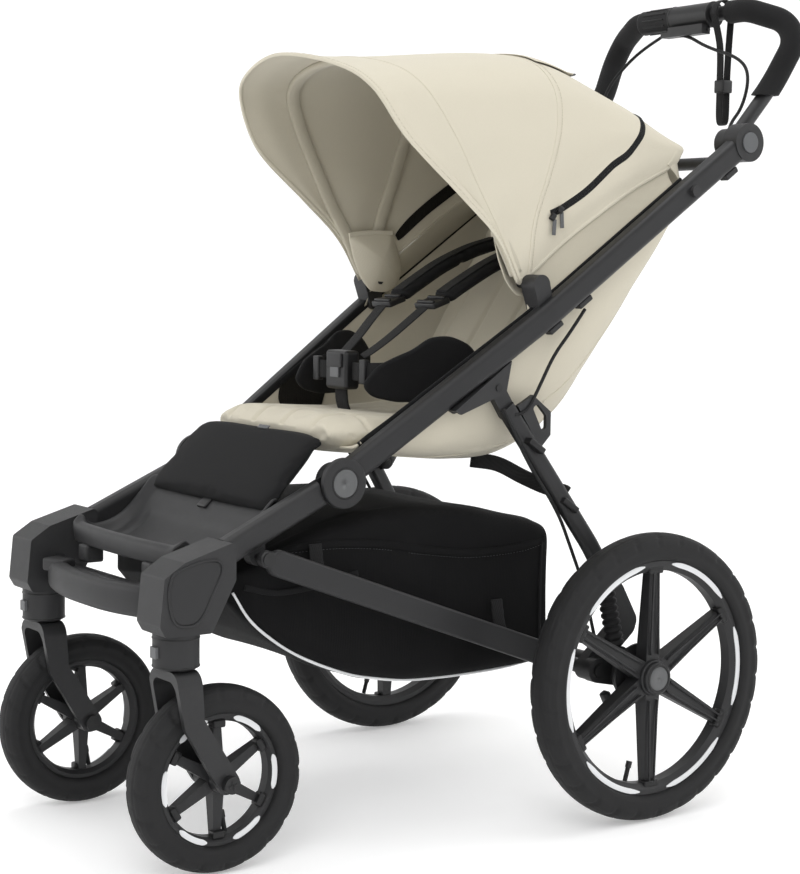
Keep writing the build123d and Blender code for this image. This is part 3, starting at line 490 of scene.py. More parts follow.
def puffUp(obj, voxel, pressure, cap):
    # voxel remesh, then cloth under pressure with no gravity, with each point's move capped
    mod = obj.modifiers.new("remesh", "REMESH")
    mod.mode = "VOXEL"
    mod.voxel_size = voxel
    settle(obj)
    mesh = obj.data
    start = places(mesh)
    settings = obj.modifiers.new("cloth", "CLOTH").settings
    for key, value in cloth.items():
        setattr(settings, key, value)
    settings.use_pressure = True
    settings.uniform_pressure_force = pressure
    settings.effector_weights.gravity = 0
    scene = bpy.context.scene
    for n in range(1, clothFrames + 1):
        scene.frame_set(n)
    graph = bpy.context.evaluated_depsgraph_get()
    step = places(obj.evaluated_get(graph).data) - start
    size = np.linalg.norm(step, axis=1)[:, None]
    step *= np.minimum(1.0, cap / np.maximum(size, 1e-9))
    obj.modifiers.clear()
    mesh.vertices.foreach_set("co", (start + step).ravel())
    mesh.update()
    scene.frame_set(1)
    mod = obj.modifiers.new("soft", "SUBSURF")
    mod.levels = mod.render_levels = 1
    settle(obj)
    shade(obj.data)
    return obj


def press(obj, depthAt, facing=None):
    # moves each point against its normal by depthAt of its place
    mesh = obj.data
    co, normal = places(mesh), places(mesh, "normal")
    depth = depthAt(co - np.array((0, mid, 0)))
    if facing is not None:
        depth = depth * np.clip(normal @ np.array(facing) * 1.6 - 0.2, 0, 1)
    mesh.vertices.foreach_set("co", (co - normal * depth[:, None]).ravel())
    mesh.update()


def give(obj, body, slot=None, *nodes):
    if body:
        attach(obj, body)
    if nodes:
        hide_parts(*nodes)
    return obj


def smoothStep(a, b, v):
    t = np.clip((v - a) / (b - a), 0, 1)
    return t * t * (3 - 2 * t)


def groove(distance, width):
    return np.exp(-(distance / width) ** 2)


# the upper rail's line, for whatever lies along it
foldY, foldZ = pivots["fold"].y - mid, pivots["fold"].z
handleY, handleZ = pivots["handle_tilt"].y - mid, pivots["handle_tilt"].z
railSlope = (handleZ - foldZ) / (handleY - foldY)
railBend = {"y": 0.19, "xFold": 0.176, "xSeat": 0.218, "xHandle": 0.222, "half": 0.013}


def railX(y):
    if y < railBend["y"]:
        share = (y - foldY) / (railBend["y"] - foldY)
        return railBend["xFold"] + share * (railBend["xSeat"] - railBend["xFold"])
    share = (y - railBend["y"]) / (handleY - railBend["y"])
    return railBend["xSeat"] + share * (railBend["xHandle"] - railBend["xSeat"])


def railZ(y):
    return foldZ + railSlope * (y - foldY)


# ray casts on the made skins


def skinOf(*objs):
    verts, faces = [], []
    for obj in objs:
        base = len(verts)
        verts += [v.co.copy() for v in obj.data.vertices]
        faces += [[base + n for n in p.vertices] for p in obj.data.polygons]
    return BVHTree.FromPolygons(verts, faces)


def castOn(tree, start, toward):
    # where a ray from start meets the skin, and the normal that faces back to start, in mid-axle places
    start, toward = at(*start), Vector(toward).normalized()
    hit, normal, face, distance = tree.ray_cast(start, toward)
    if hit is None:
        hit, normal, face, distance = tree.find_nearest(start + toward * 0.2)
    if normal.dot(toward) > 0:
        normal = -normal
    return (hit.x, hit.y - mid, hit.z), tuple(normal)


def skinFrames(line, count):
    path = spline([p for p, n in line], count)
    normal = unit(spline([n for p, n in line], count))
    tangent = unit(np.gradient(path, axis=0))
    return path, normal, tangent, np.cross(tangent, normal)


def ribbon(name, line, width, thick, finish, lift=0.0, count=60, pad=2.4):
    # a strip that lies on a skin; line is (point, normal) pairs
    path, normal, tangent, wide = skinFrames(line, count)
    wide = unit(wide)
    turns = [2 * pi * k / ribbonSection for k in range(ribbonSection)]
    ring = [(bend(cos(a), 1 / 3) * width / 2, bend(sin(a), 2 / pad) * thick / 2 + lift) for a in turns]
    grid = [[path[n] + wide[n] * u + normal[n] * v for u, v in ring] for n in range(count)]
    obj = gridPiece(name, grid, finish, closeColumns=True)
    capEnds(obj, ribbonSection)
    return obj


def stitchRow(name, line, finish, side=0.0, lift=0.0006, pitch=0.0042, length=0.0028, radius=0.00035):
    # a run of thread stitches along a line on a skin
    fine = 400
    path, normal, tangent, wide = skinFrames(line, fine)
    path = path + wide * side + normal * lift
    run = np.concatenate([[0], np.cumsum(np.linalg.norm(np.diff(path, axis=0), axis=1))])
    verts, faces = [], []
    for s in np.arange(pitch, run[-1] - pitch, pitch):
        k = min(int(np.searchsorted(run, s)), fine - 1)
        base = len(verts)
        for along, thin in ((-0.5, 0.35), (-0.25, 1.0), (0.25, 1.0), (0.5, 0.35)):
            for q in range(5):
                a = 2 * pi * q / 5
                verts.append(path[k] + tangent[k] * along * length
                             + (wide[k] * cos(a) + normal[k] * sin(a)) * radius * thin + np.array((0, mid, 0)))
        for ring in range(3):
            for q in range(5):
                a, b = base + ring * 5 + q, base + ring * 5 + (q + 1) % 5
                faces.append((a, b, b + 5, a + 5))
        faces.append([base + q for q in range(5)][::-1])
        faces.append([base + 15 + q for q in range(5)])
    return newPiece(name, verts, faces, finish)


# canopy: one sheet over five arches
canopyCentre = np.array((0, 0.2, 0.8))
canopy = {
    # x of each arch's half from foot to crown, then each arch's (y, z) at those places
    "columns": (0.188, 0.19, 0.19, 0.186, 0.165, 0.11, 0.0),
    "arches": [
        [(0.166, 0.738), (0.125, 0.803), (0.062, 0.858), (-0.02, 0.925), (-0.062, 0.99), (-0.086, 1.022),
        (-0.103, 1.04)],
        [(0.172, 0.738), (0.135, 0.803), (0.098, 0.862), (0.06, 0.93), (0.022, 0.995), (0.0, 1.028),
        (-0.015, 1.042)],
        [(0.185, 0.742), (0.19, 0.812), (0.215, 0.889), (0.235, 0.955), (0.24, 1.01), (0.235, 1.048),
        (0.23, 1.06)],
        [(0.33, 0.845), (0.345, 0.88), (0.36, 0.925), (0.37, 0.955), (0.378, 0.983), (0.384, 0.999),
        (0.386, 1.004)],
        [(0.445, 0.905), (0.455, 0.915), (0.462, 0.925), (0.468, 0.933), (0.472, 0.94), (0.478, 0.948),
        (0.48, 0.95)],
    ],
    "rows": 73, "across": 97, "thick": 0.0024, "sag": 0.0035,
}


def canopyGrid():
    rows = []
    for arch in canopy["arches"]:
        half = [(x, y, z) for x, (y, z) in zip(canopy["columns"], arch)]
        rows.append(spline(half + [(-x, y, z) for x, y, z in half[-2::-1]], canopy["across"]))
    columns = [spline([row[c] for row in rows], canopy["rows"]) for c in range(canopy["across"])]
    grid = np.transpose(np.array(columns), (1, 0, 2))
    u = np.linspace(0, 4, canopy["rows"])[:, None]
    v = np.linspace(-1, 1, canopy["across"])[None, :]
    out = unit(grid - canopyCentre)
    sag = -canopy["sag"] * np.sin(pi * (u % 1.0)) ** 2 * (0.35 + 0.65 * np.abs(v))
    sag = sag + 0.0011 * np.sin(9 * v + 3.1 * u) * np.sin(pi * (u % 1.0)) * np.abs(v) ** 2
    sag = sag + 0.0009 * np.sin(17 * v * np.abs(v) - 2.3 * u + 1.0) * np.clip(u - 0.2, 0, 1) * np.clip(3.9 - u,
            0, 1)
    return grid + out * sag[:, :, None]


canopyMesh = canopyGrid()


def canopyPlace(u, v):
    # u runs 0 to 4 from the rim to the rear edge, v from -1 on the left to 1 on the right
    r = u / 4 * (canopy["rows"] - 1)
    c = (v + 1) / 2 * (canopy["across"] - 1)
    r0, c0 = int(min(r, canopy["rows"] - 2)), int(min(c, canopy["across"] - 2))
    fr, fc = r - r0, c - c0
    g = canopyMesh
    point = (g[r0, c0] * (1 - fr) * (1 - fc) + g[r0 + 1, c0] * fr * (1 - fc)
             + g[r0, c0 + 1] * (1 - fr) * fc + g[r0 + 1, c0 + 1] * fr * fc)
    normal = np.cross(g[r0 + 1, c0] - g[r0, c0], g[r0, c0 + 1] - g[r0, c0])
    normal = unit(normal)
    if np.dot(normal, point - canopyCentre) < 0:
        normal = -normal
    return point, normal


def inward(line):
    return [(p, -np.array(n)) for p, n in line]


def canopyBlend(obj):
    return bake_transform(obj)


canopySkin = gridPiece("canopy_skin", canopyMesh, "beigeCloth", thick=canopy["thick"], side=0.0, subdivide=1)
tidyNormals(canopySkin)
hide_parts("canopy_rear", "canopy_front")
canopyTree = skinOf(canopySkin)


def canopyArc(u, reach=1.0):
    return [canopyPlace(u, v) for v in np.linspace(-reach, reach, 41)]


# rim and seam stitches are in the darker beige with painted shade
canopyTrim = [ribbon("canopy_rim_piping", canopyArc(0.0), 0.0046, 0.0046, "beigeCloth", count=140),
              ribbon("canopy_rim_hem", canopyArc(0.055), 0.013, 0.0016, "beigeCloth", lift=0.0014, count=140),
              stitchRow("canopy_rim_stitches", canopyArc(0.055), "shadedBeige", lift=0.0024)]
for tag, u in (("front", 1.0), ("middle", 2.0)):
    canopyTrim.append(ribbon(f"canopy_{tag}_seam", canopyArc(u), 0.005, 0.0013, "beigeCloth", lift=0.0012,
            count=140))
canopyTrim.append(stitchRow("canopy_seam_stitches", canopyArc(2.04), "shadedBeige", lift=0.0016))
for s, tag in ((-1, "left"), (1, "right")):
    line = [canopyPlace(u, s * 0.985) for u in np.linspace(0.05, 3.98, 30)]
    canopyTrim.append(ribbon(f"canopy_side_hem_{tag}", line, 0.0055, 0.0034, "beigeCloth", count=120))
canopyTrim.append(ribbon("canopy_rear_hem", canopyArc(3.95, 0.97), 0.014, 0.003, "beigeCloth", count=120))
for piece in canopyTrim:
    canopyBlend(piece)

# bow sleeves on the inside, in the darker beige with painted shade
for tag, u, body, node in (("front", 1.01, "canopy", "canopy_bow"),
        ("middle", 2.04, "upper_frame", "canopy_rear_bow")):
    sleeve = ribbon(f"canopy_{tag}_sleeve", inward(canopyArc(u, 0.97)), 0.02, 0.01, "shadedBeige", lift=0.005,
                    count=140, pad=1.7)
    give(sleeve, body, "beige_fabric", node)
    stitches = stitchRow(f"canopy_{tag}_sleeve_stitches", inward(canopyArc(u, 0.95)), "beigeCloth", side=0.0085,
                         lift=0.0035)
    give(stitches, body, "beige_fabric")

# the pockets that hide the bows' feet
pocket = {"outline": ((0.131, 0.803), (0.15, 0.806), (0.182, 0.808), (0.213, 0.808), (0.222, 0.785),
        (0.231, 0.755), (0.225, 0.729), (0.203, 0.717), (0.173, 0.719), (0.155, 0.738), (0.141, 0.768)),
    "x": 0.176, "bulge": 0.017, "thick": 0.0022}


def panelPiece(name, outline, xAt, bulge, finish, thick, rings=9, count=72, squareness=1.0):
    # a curved panel in the side-view outline, whose middle stands proud of xAt(y, z) by the bulge
    pts = np.array([*outline, outline[0]], float)
    run = np.concatenate([[0], np.cumsum(np.linalg.norm(np.diff(pts, axis=0), axis=1))])
    even = np.linspace(0, run[-1], count, endpoint=False)
    edge = np.stack([np.interp(even, run, pts[:, k]) for k in (0, 1)], axis=1)
    for _ in range(2):
        edge = 0.25 * np.roll(edge, 1, axis=0) + 0.5 * edge + 0.25 * np.roll(edge, -1, axis=0)
    centre = edge.mean(axis=0)
    grid = []
    for r in range(rings):
        share = 1 - r / (rings - 1) * 0.985
        row = []
        for y, z in edge:
            py, pz = centre[0] + (y - centre[0]) * share, centre[1] + (z - centre[1]) * share
            row.append((xAt(py, pz) + bulge * (1 - share ** 2) ** squareness, py, pz))
        grid.append(row)
    return gridPiece(name, grid, finish, thick=thick, closeColumns=True, subdivide=1, closeMiddle=True)


for s, tag in rightFirst:
    piece = panelPiece(f"canopy_pocket_{tag}", pocket["outline"], lambda y, z: s * pocket["x"],
                       -s * pocket["bulge"], "beigeCloth", pocket["thick"])
    give(tidyNormals(piece), "upper_frame", "beige_fabric")
    top = [((s * (pocket["x"] - 0.0035), y, z), (-s, 0, 0)) for y, z in pocket["outline"][:4]]
    give(ribbon(f"canopy_pocket_hem_{tag}", top, 0.007, 0.0022, "beigeCloth", count=30), "upper_frame",
            "beige_fabric")

# side wings from the canopy's lower edge to the rails, in the darker beige with painted shade
wingStart = 0.176
for s, tag in rightFirst:
    wingGrid = []
    for n in range(33):
        share = n / 32
        upper, _ = canopyPlace(2.0 + 1.96 * share, -s * 0.995)
        y = upper[1] if share > 0.08 else wingStart + share * 0.4
        lower = np.array((s * (railX(y) - railBend["half"] - 0.0035), y, railZ(y) + 0.01))
        upper = np.array((s * abs(upper[0]), upper[1], upper[2])) - np.array((s * 0.0022, 0, 0))
        wingGrid.append([lower + (upper - lower) * k - np.array((s * 0.004 * sin(pi * k), 0, 0))
                for k in np.linspace(0, 1, 9)])
    wing = tidyNormals(gridPiece(f"canopy_wing_{tag}", wingGrid, "shadedBeige", thick=0.0018, subdivide=1))
    give(wing, "upper_frame", "beige_fabric")

# zipped band over the rear, with two pulls at each lower end
zipInner = 0.12


def canopyUv(y, z):
    # the u and v of the nearest place in side view, on the side where x is over zipInner
    elsewhere = 9.0 * (canopyMesh[:, :, 0] < zipInner)
    away = (canopyMesh[:, :, 1] - y) ** 2 + (canopyMesh[:, :, 2] - z) ** 2 + elsewhere
    r, c = np.unravel_index(np.argmin(away), away.shape)
    return r * 4 / (canopy["rows"] - 1), c * 2 / (canopy["across"] - 1) - 1


zipUv = [canopyUv(y, z) for y, z in ((0.222, 0.829), (0.25, 0.846), (0.284, 0.866), (0.33, 0.899),
        (0.366, 0.926))]
zipUv += [(3.2, -0.46), (3.27, -0.22), (3.28, 0.0)]
zipUv = spline([*zipUv, *[(u, -v) for u, v in zipUv[-2::-1]]], 80)
zipPlaces = [canopyPlace(u, v) for u, v in zipUv]
zipBand = ribbon("canopy_zip_tape", zipPlaces, 0.0105, 0.0012, "webbing", lift=0.001, count=200)
zipTeeth = stitchRow("canopy_zip_teeth", zipPlaces, "darkPlastic", lift=0.0019, pitch=0.0024, length=0.0013,
        radius=0.0014)
for piece in (zipBand, zipTeeth):
    give(piece, "upper_frame", "black_fabric")
for s, tag in leftFirst:
    for n, (y, z) in enumerate(((0.222, 0.828), (0.236, 0.838))):
        x = s * (abs(castOn(canopyTree, (s * 0.5, y, z), (-s, 0, 0))[0][0]) + 0.0035)
        slider = blockPiece(f"zip_slider_{tag}_{n}", (x, y, z), (0.006, 0.008, 0.01), "darkPlastic",
                turn=(-0.6, 0, 0))
        pull = blockPiece(f"zip_pull_{tag}_{n}", (x + s * 0.001, y + 0.002, z - 0.014), (0.0022, 0.0062, 0.022),
                          "greyPlastic", turn=(0.12 * (n - 0.5), 0, 0), rounding=0.001)
        give(slider, "upper_frame", "black_plastic")
        give(pull, "upper_frame", "grey_plastic")

# peek flap on the roof
flap = {"y": (0.238, 0.335), "x": 0.128, "lift": 0.003, "thick": 0.002, "raise": 0.006}
flapGrid = []
for r in range(15):
    row = []
    for c in range(31):
        u, v = 2 * c / 30 - 1, r / 14
        narrow = 1 - 0.18 * max(0.0, v - 0.55) ** 2 / 0.2
        x = flap["x"] * u * narrow
        y = flap["y"][0] + (flap["y"][1] - flap["y"][0]) * v * (1 - 0.1 * abs(u) ** 6)
        p, n = castOn(canopyTree, (x, y, 1.3), (0, 0, -1))
        lift = flap["lift"] + flap["raise"] * max(0.0, v - 0.7) / 0.3
        row.append(np.array(p) + np.array(n) * lift)
    flapGrid.append(row)
peekFlap = gridPiece("canopy_peek_flap", flapGrid, "beigeCloth", thick=flap["thick"], subdivide=1)
give(tidyNormals(peekFlap), "upper_frame", "beige_fabric")
edge = [(row, (0, 0, 1)) for row in flapGrid[-1]]
give(ribbon("canopy_flap_hem", edge, 0.006, 0.0026, "greyPlastic", count=50), "upper_frame", "black_fabric")

# dark vent inside, round the rear, laid on the skin in its own u and v
ventSpec = {"line": ((2.32, 0.915), (2.6, 0.865), (2.95, 0.815), (3.3, 0.735), (3.55, 0.56), (3.64, 0.3),
        (3.66, 0.0)), "half": 0.026}
ventLine = spline([*ventSpec["line"], *[(u, -v) for u, v in ventSpec["line"][-2::-1]]], 90)
ventGrid = []
for n in range(90):
    run = (ventLine[min(n + 1, 89)] - ventLine[max(n - 1, 0)]) * np.array((0.15, 0.4))
    run /= np.linalg.norm(run)
    half = ventSpec["half"] * (0.3 + 0.7 * sin(pi * n / 89) ** 0.5)
    row = []
    for k in np.linspace(-1, 1, 9):
        u, v = ventLine[n] + np.array((-run[1] / 0.15, run[0] / 0.4)) * half * k
        p, out = canopyPlace(min(u, 3.97), v)
        row.append(p - out * 0.0026)
    ventGrid.append(row)
vent = tidyNormals(gridPiece("canopy_vent_mesh", ventGrid, "meshCloth", thick=0.0009, subdivide=1))
give(vent, "upper_frame", "black_fabric")
canopyBlend(canopySkin)
print("canopy made")

# sling seat: one sheet between the rails
slingCentre = np.array((0, 0.16, 0.68))
sling = {
    # rail place of each edge, then the (y, z) of the bottom's middle, then how square the section is
    "stations": [(-0.078, -0.09, 0.519, 7.0), (-0.02, -0.03, 0.509, 6.5), (0.05, 0.045, 0.498, 5.5),
                 (0.115, 0.118, 0.49, 4.4), (0.168, 0.19, 0.49, 3.6), (0.222, 0.262, 0.524, 3.3),
                 (0.275, 0.318, 0.592, 3.2), (0.335, 0.378, 0.678, 3.2), (0.395, 0.433, 0.762, 3.4),
                 (0.45, 0.472, 0.838, 3.8)],
    "rows": 81, "across": 81, "thick": 0.0026, "edgeLift": 0.016,
}


def slingGrid():
    across = sling["across"]
    rows = []
    for y, yb, zb, square in sling["stations"]:
        half = railX(y) - railBend["half"] - 0.0022
        ze = railZ(y) + sling["edgeLift"]
        row = []
        for c in range(across):
            t = 2 * c / (across - 1) - 1
            theta = (1 - abs(t)) * pi / 2
            x = half * cos(theta) ** (2 / square) if abs(t) > 1e-9 else 0.0
            s = sin(theta) ** (2 / square)
            row.append((np.sign(t) * x, y + (yb - y) * s, ze + (zb - ze) * s))
        even = np.array(row)
        run = np.concatenate([[0], np.cumsum(np.linalg.norm(np.diff(even, axis=0), axis=1))])
        want = np.linspace(0, run[-1], across)
        rows.append(np.stack([np.interp(want, run, even[:, k]) for k in range(3)], axis=1))
    columns = [spline([row[c] for row in rows], sling["rows"]) for c in range(across)]
    grid = np.transpose(np.array(columns), (1, 0, 2))
    r = np.linspace(0, 1, sling["rows"])[:, None]
    c = np.linspace(-1, 1, across)[None, :]
    wave = 0.0022 * np.sin(8 * r + 5 * c * c) * np.sin(pi * np.abs(c)) * np.sin(pi * r)
    wave = wave + 0.0026 * np.exp(-((np.abs(c) - 0.42 - 0.12 * (1 - r)) / 0.035) ** 2) * np.clip(r - 0.35, 0, 1)
    out = unit(grid - slingCentre)
    return grid + out * wave[:, :, None]


slingMesh = slingGrid()


def slingBlend(obj):
    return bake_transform(obj)


slingSkin = tidyNormals(gridPiece("sling_skin", slingMesh, "beigeCloth", thick=sling["thick"], subdivide=1))
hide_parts("seat_side_walls")
slingTree = skinOf(slingSkin)


def slingPlace(r, c):
    # r 0 to 1 from front to top, c -1 to 1 across, with the outward normal
    i, j = r * (sling["rows"] - 1), (c + 1) / 2 * (sling["across"] - 1)
    i0, j0 = int(min(i, sling["rows"] - 2)), int(min(j, sling["across"] - 2))
    g = slingMesh
    point = g[i0, j0] + (g[i0 + 1, j0] - g[i0, j0]) * (i - i0) + (g[i0, j0 + 1] - g[i0, j0]) * (j - j0)
    normal = np.cross(g[i0 + 1, j0] - g[i0, j0], g[i0, j0 + 1] - g[i0, j0])
    normal = unit(normal)
    if np.dot(normal, point - slingCentre) < 0:
        normal = -normal
    return point, normal


slingTrim = []
for s, tag in rightFirst:
    edge = [slingPlace(r, s * 0.992) for r in np.linspace(0, 1, 25)]
    slingTrim.append(ribbon(f"sling_edge_binding_{tag}", edge, 0.012, 0.005, "blackCloth", count=110))
    seam = [slingPlace(r, s * 0.47) for r in np.linspace(0.02, 0.98, 25)]
    slingTrim.append(ribbon(f"sling_side_seam_{tag}", seam, 0.0045, 0.0018, "beigeCloth", lift=0.0014,
            count=120))
    # side stitches in the darker beige with painted shade
    slingTrim.append(stitchRow(f"sling_side_stitches_{tag}", seam, "shadedBeige", side=0.0055, lift=0.0016))
    low = [slingPlace(r, s * 0.6) for r in np.linspace(0.5, 0.98, 15)]
    slingTrim.append(ribbon(f"sling_gusset_seam_{tag}", low, 0.0035, 0.0014, "beigeCloth", lift=0.0014,
            count=80))
frontHem = [slingPlace(0.012, c) for c in np.linspace(-0.98, 0.98, 31)]
slingTrim.append(ribbon("sling_front_hem", frontHem, 0.012, 0.0044, "beigeCloth", count=120))
topHem = [slingPlace(0.985, c) for c in np.linspace(-0.98, 0.98, 31)]
slingTrim.append(ribbon("sling_top_hem", topHem, 0.016, 0.005, "blackCloth", count=120))
# rear drop from the canopy's rear edge to the sling's top
dropGrid = []
for c in np.linspace(-0.93, 0.93, 49):
    upper, _ = canopyPlace(3.93, -c * 0.98)
    lower, _ = slingPlace(0.985, c)
    upper = np.array((np.sign(c) * abs(upper[0]), upper[1] - 0.002, upper[2] - 0.003))
    dropGrid.append([upper + (lower - upper) * k
            + np.array((0, 0.01 * sin(pi * k) + 0.0015 * sin(9 * c + 4 * k), 0))
            for k in np.linspace(0, 1, 17)])
rearDrop = tidyNormals(gridPiece("rear_drop_panel", dropGrid, "beigeCloth", thick=0.0018, subdivide=1))
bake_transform(rearDrop)
# rear pocket of dark mesh and its elastic hem
rearPocket = []
for r in np.linspace(0.6, 0.86, 19):
    row = []
    for c in np.linspace(-0.31, 0.31, 33):
        p, n = slingPlace(r, c)
        puff = 0.0025 + 0.009 * max(0.0, 1 - (c / 0.31) ** 2) * sin(pi * (r - 0.6) / 0.34) ** 0.7
        row.append(p + n * puff)
    rearPocket.append(row)
slingTrim.append(tidyNormals(gridPiece("rear_pocket_mesh", rearPocket, "meshCloth", thick=0.0012, subdivide=1)))
hem = [(row, slingPlace(0.86, 0)[1]) for row in rearPocket[-1]]
slingTrim.append(ribbon("rear_pocket_hem", hem, 0.016, 0.0034, "blackCloth", count=60))
for s, tag in rightFirst:
    strap = [slingPlace(r, s * c) for r, c in ((0.52, 0.36), (0.6, 0.35), (0.74, 0.34), (0.9, 0.36),
            (0.975, 0.4))]
    slingTrim.append(ribbon(f"recline_webbing_{tag}", strap, 0.02, 0.0018, "webbing", lift=0.003, count=70))
for piece in slingTrim:
    slingBlend(piece)

# dark mesh windows inside both sides, with a bound border
window = ((0.118, 0.65), (0.066, 0.618), (0.012, 0.584), (0.008, 0.56), (0.018, 0.543), (0.05, 0.54),
          (0.086, 0.54), (0.1, 0.57), (0.112, 0.612))
for s, tag in rightFirst:
    def windowX(y, z, s=s):
        return castOn(slingTree, (0, y, z), (s, 0, 0))[0][0] - s * 0.0022
    piece = panelPiece(f"mesh_window_{tag}", window, windowX, -s * 0.002, "meshCloth", 0.001)
    give(tidyNormals(piece), "upper_frame", "black_fabric")
    top = [((windowX(y, z) - s * 0.001, y, z), (-s, 0, 0)) for y, z in (window[0], window[1], window[2])]
    give(ribbon(f"window_binding_{tag}", top, 0.009, 0.0024, "blackCloth", count=40), "upper_frame",
            "black_fabric")
slingBlend(slingSkin)
print("sling made")

# seat and back pads

# how much of a pad's length its rounded corners take
cornerShare = 0.12


def padPiece(name, top, bottom, halfWidths, finish, stations=34, across=41, edge=5.0, cornerStart=0.0,
        cornerEnd=0.0):
    # a loft across x whose thickness draws in toward the side edges and at both ends
    top, bottom = spline(top, stations), spline(bottom, stations)
    half = np.interp(np.linspace(0, 1, stations), np.linspace(0, 1, len(halfWidths)), halfWidths)
    rows = []
    ring = [(k, 1.0) for k in range(stations)]
    ring += [(k, -1.0) for k in range(stations - 1, -1, -1)]
    for c in np.linspace(-1, 1, across):
        thin = max(0.22, (1 - abs(c) ** edge) ** 0.42)
        row = []
        for k, side in ring:
            mean = (top[k] + bottom[k]) / 2
            reach = (top[k] - bottom[k]) / 2 * side * thin
            x = half[k] * c
            t = k / (stations - 1)
            atStart = cornerStart * max(0, 1 - t / cornerShare) ** 2 * c ** 6
            pull = atStart - cornerEnd * max(0, 1 - (1 - t) / cornerShare) ** 2 * c ** 6
            row.append((x, mean[0] + reach[0] + pull * (top[-1][0] - top[0][0]),
                        mean[1] + reach[1] + pull * (top[-1][1] - top[0][1])))
        rows.append(row)
    obj = gridPiece(name, rows, finish, closeColumns=True)
    capEnds(obj, len(ring))
    return obj


def channels(xs, width, depth):
    def depthAt(local):
        return sum(depth * groove(local[:, 0] - x, width) for x in xs)
    return depthAt


seatSpec = {
    "top": ((-0.124, 0.545), (-0.108, 0.557), (-0.06, 0.556), (0.0, 0.552), (0.08, 0.549), (0.15, 0.552),
    (0.196, 0.56)),
    "bottom": ((-0.122, 0.531), (-0.105, 0.519), (-0.06, 0.513), (0.0, 0.508), (0.08, 0.503), (0.15, 0.502),
    (0.2, 0.508)),
    "half": (0.142, 0.15, 0.161, 0.168, 0.174, 0.172, 0.16)}
seatPad = padPiece("seat_pad", seatSpec["top"], seatSpec["bottom"], seatSpec["half"], "beigeCloth",
        cornerStart=0.05)
seatPad = puffUp(seatPad, voxel=0.005, pressure=4.0, cap=0.006)
press(seatPad, channels((-0.108, -0.036, 0.036, 0.108), 0.0042, 0.0048), facing=(0, -0.2, 1))
press(seatPad, lambda p: 0.0035 * groove(p[:, 1] + 0.052, 0.004), facing=(0, 0, 1))
give(seatPad, "upper_frame", "beige_fabric", "seat_pan")

backSpec = {
    "top": ((0.224, 0.59), (0.246, 0.622), (0.288, 0.683), (0.332, 0.748), (0.376, 0.812), (0.41, 0.86)),
    "bottom": ((0.256, 0.566), (0.284, 0.598), (0.327, 0.66), (0.371, 0.722), (0.414, 0.786), (0.44, 0.826)),
    "half": (0.156, 0.166, 0.172, 0.176, 0.178, 0.176)}
backPad = padPiece("back_pad", backSpec["top"], backSpec["bottom"], backSpec["half"], "beigeCloth",
        cornerEnd=0.04)
backPad = puffUp(backPad, voxel=0.0055, pressure=4.0, cap=0.006)
press(backPad, channels((-0.108, -0.036, 0.036, 0.108), 0.0042, 0.005), facing=(0, -0.82, 0.57))
press(backPad, lambda p: 0.0045 * groove((p[:, 1] - 0.372) * 0.565 + (p[:, 2] - 0.806) * 0.825, 0.004),
        facing=(0, -0.82, 0.57))
give(backPad, "backrest", "beige_fabric", "backrest")
print("pads made")

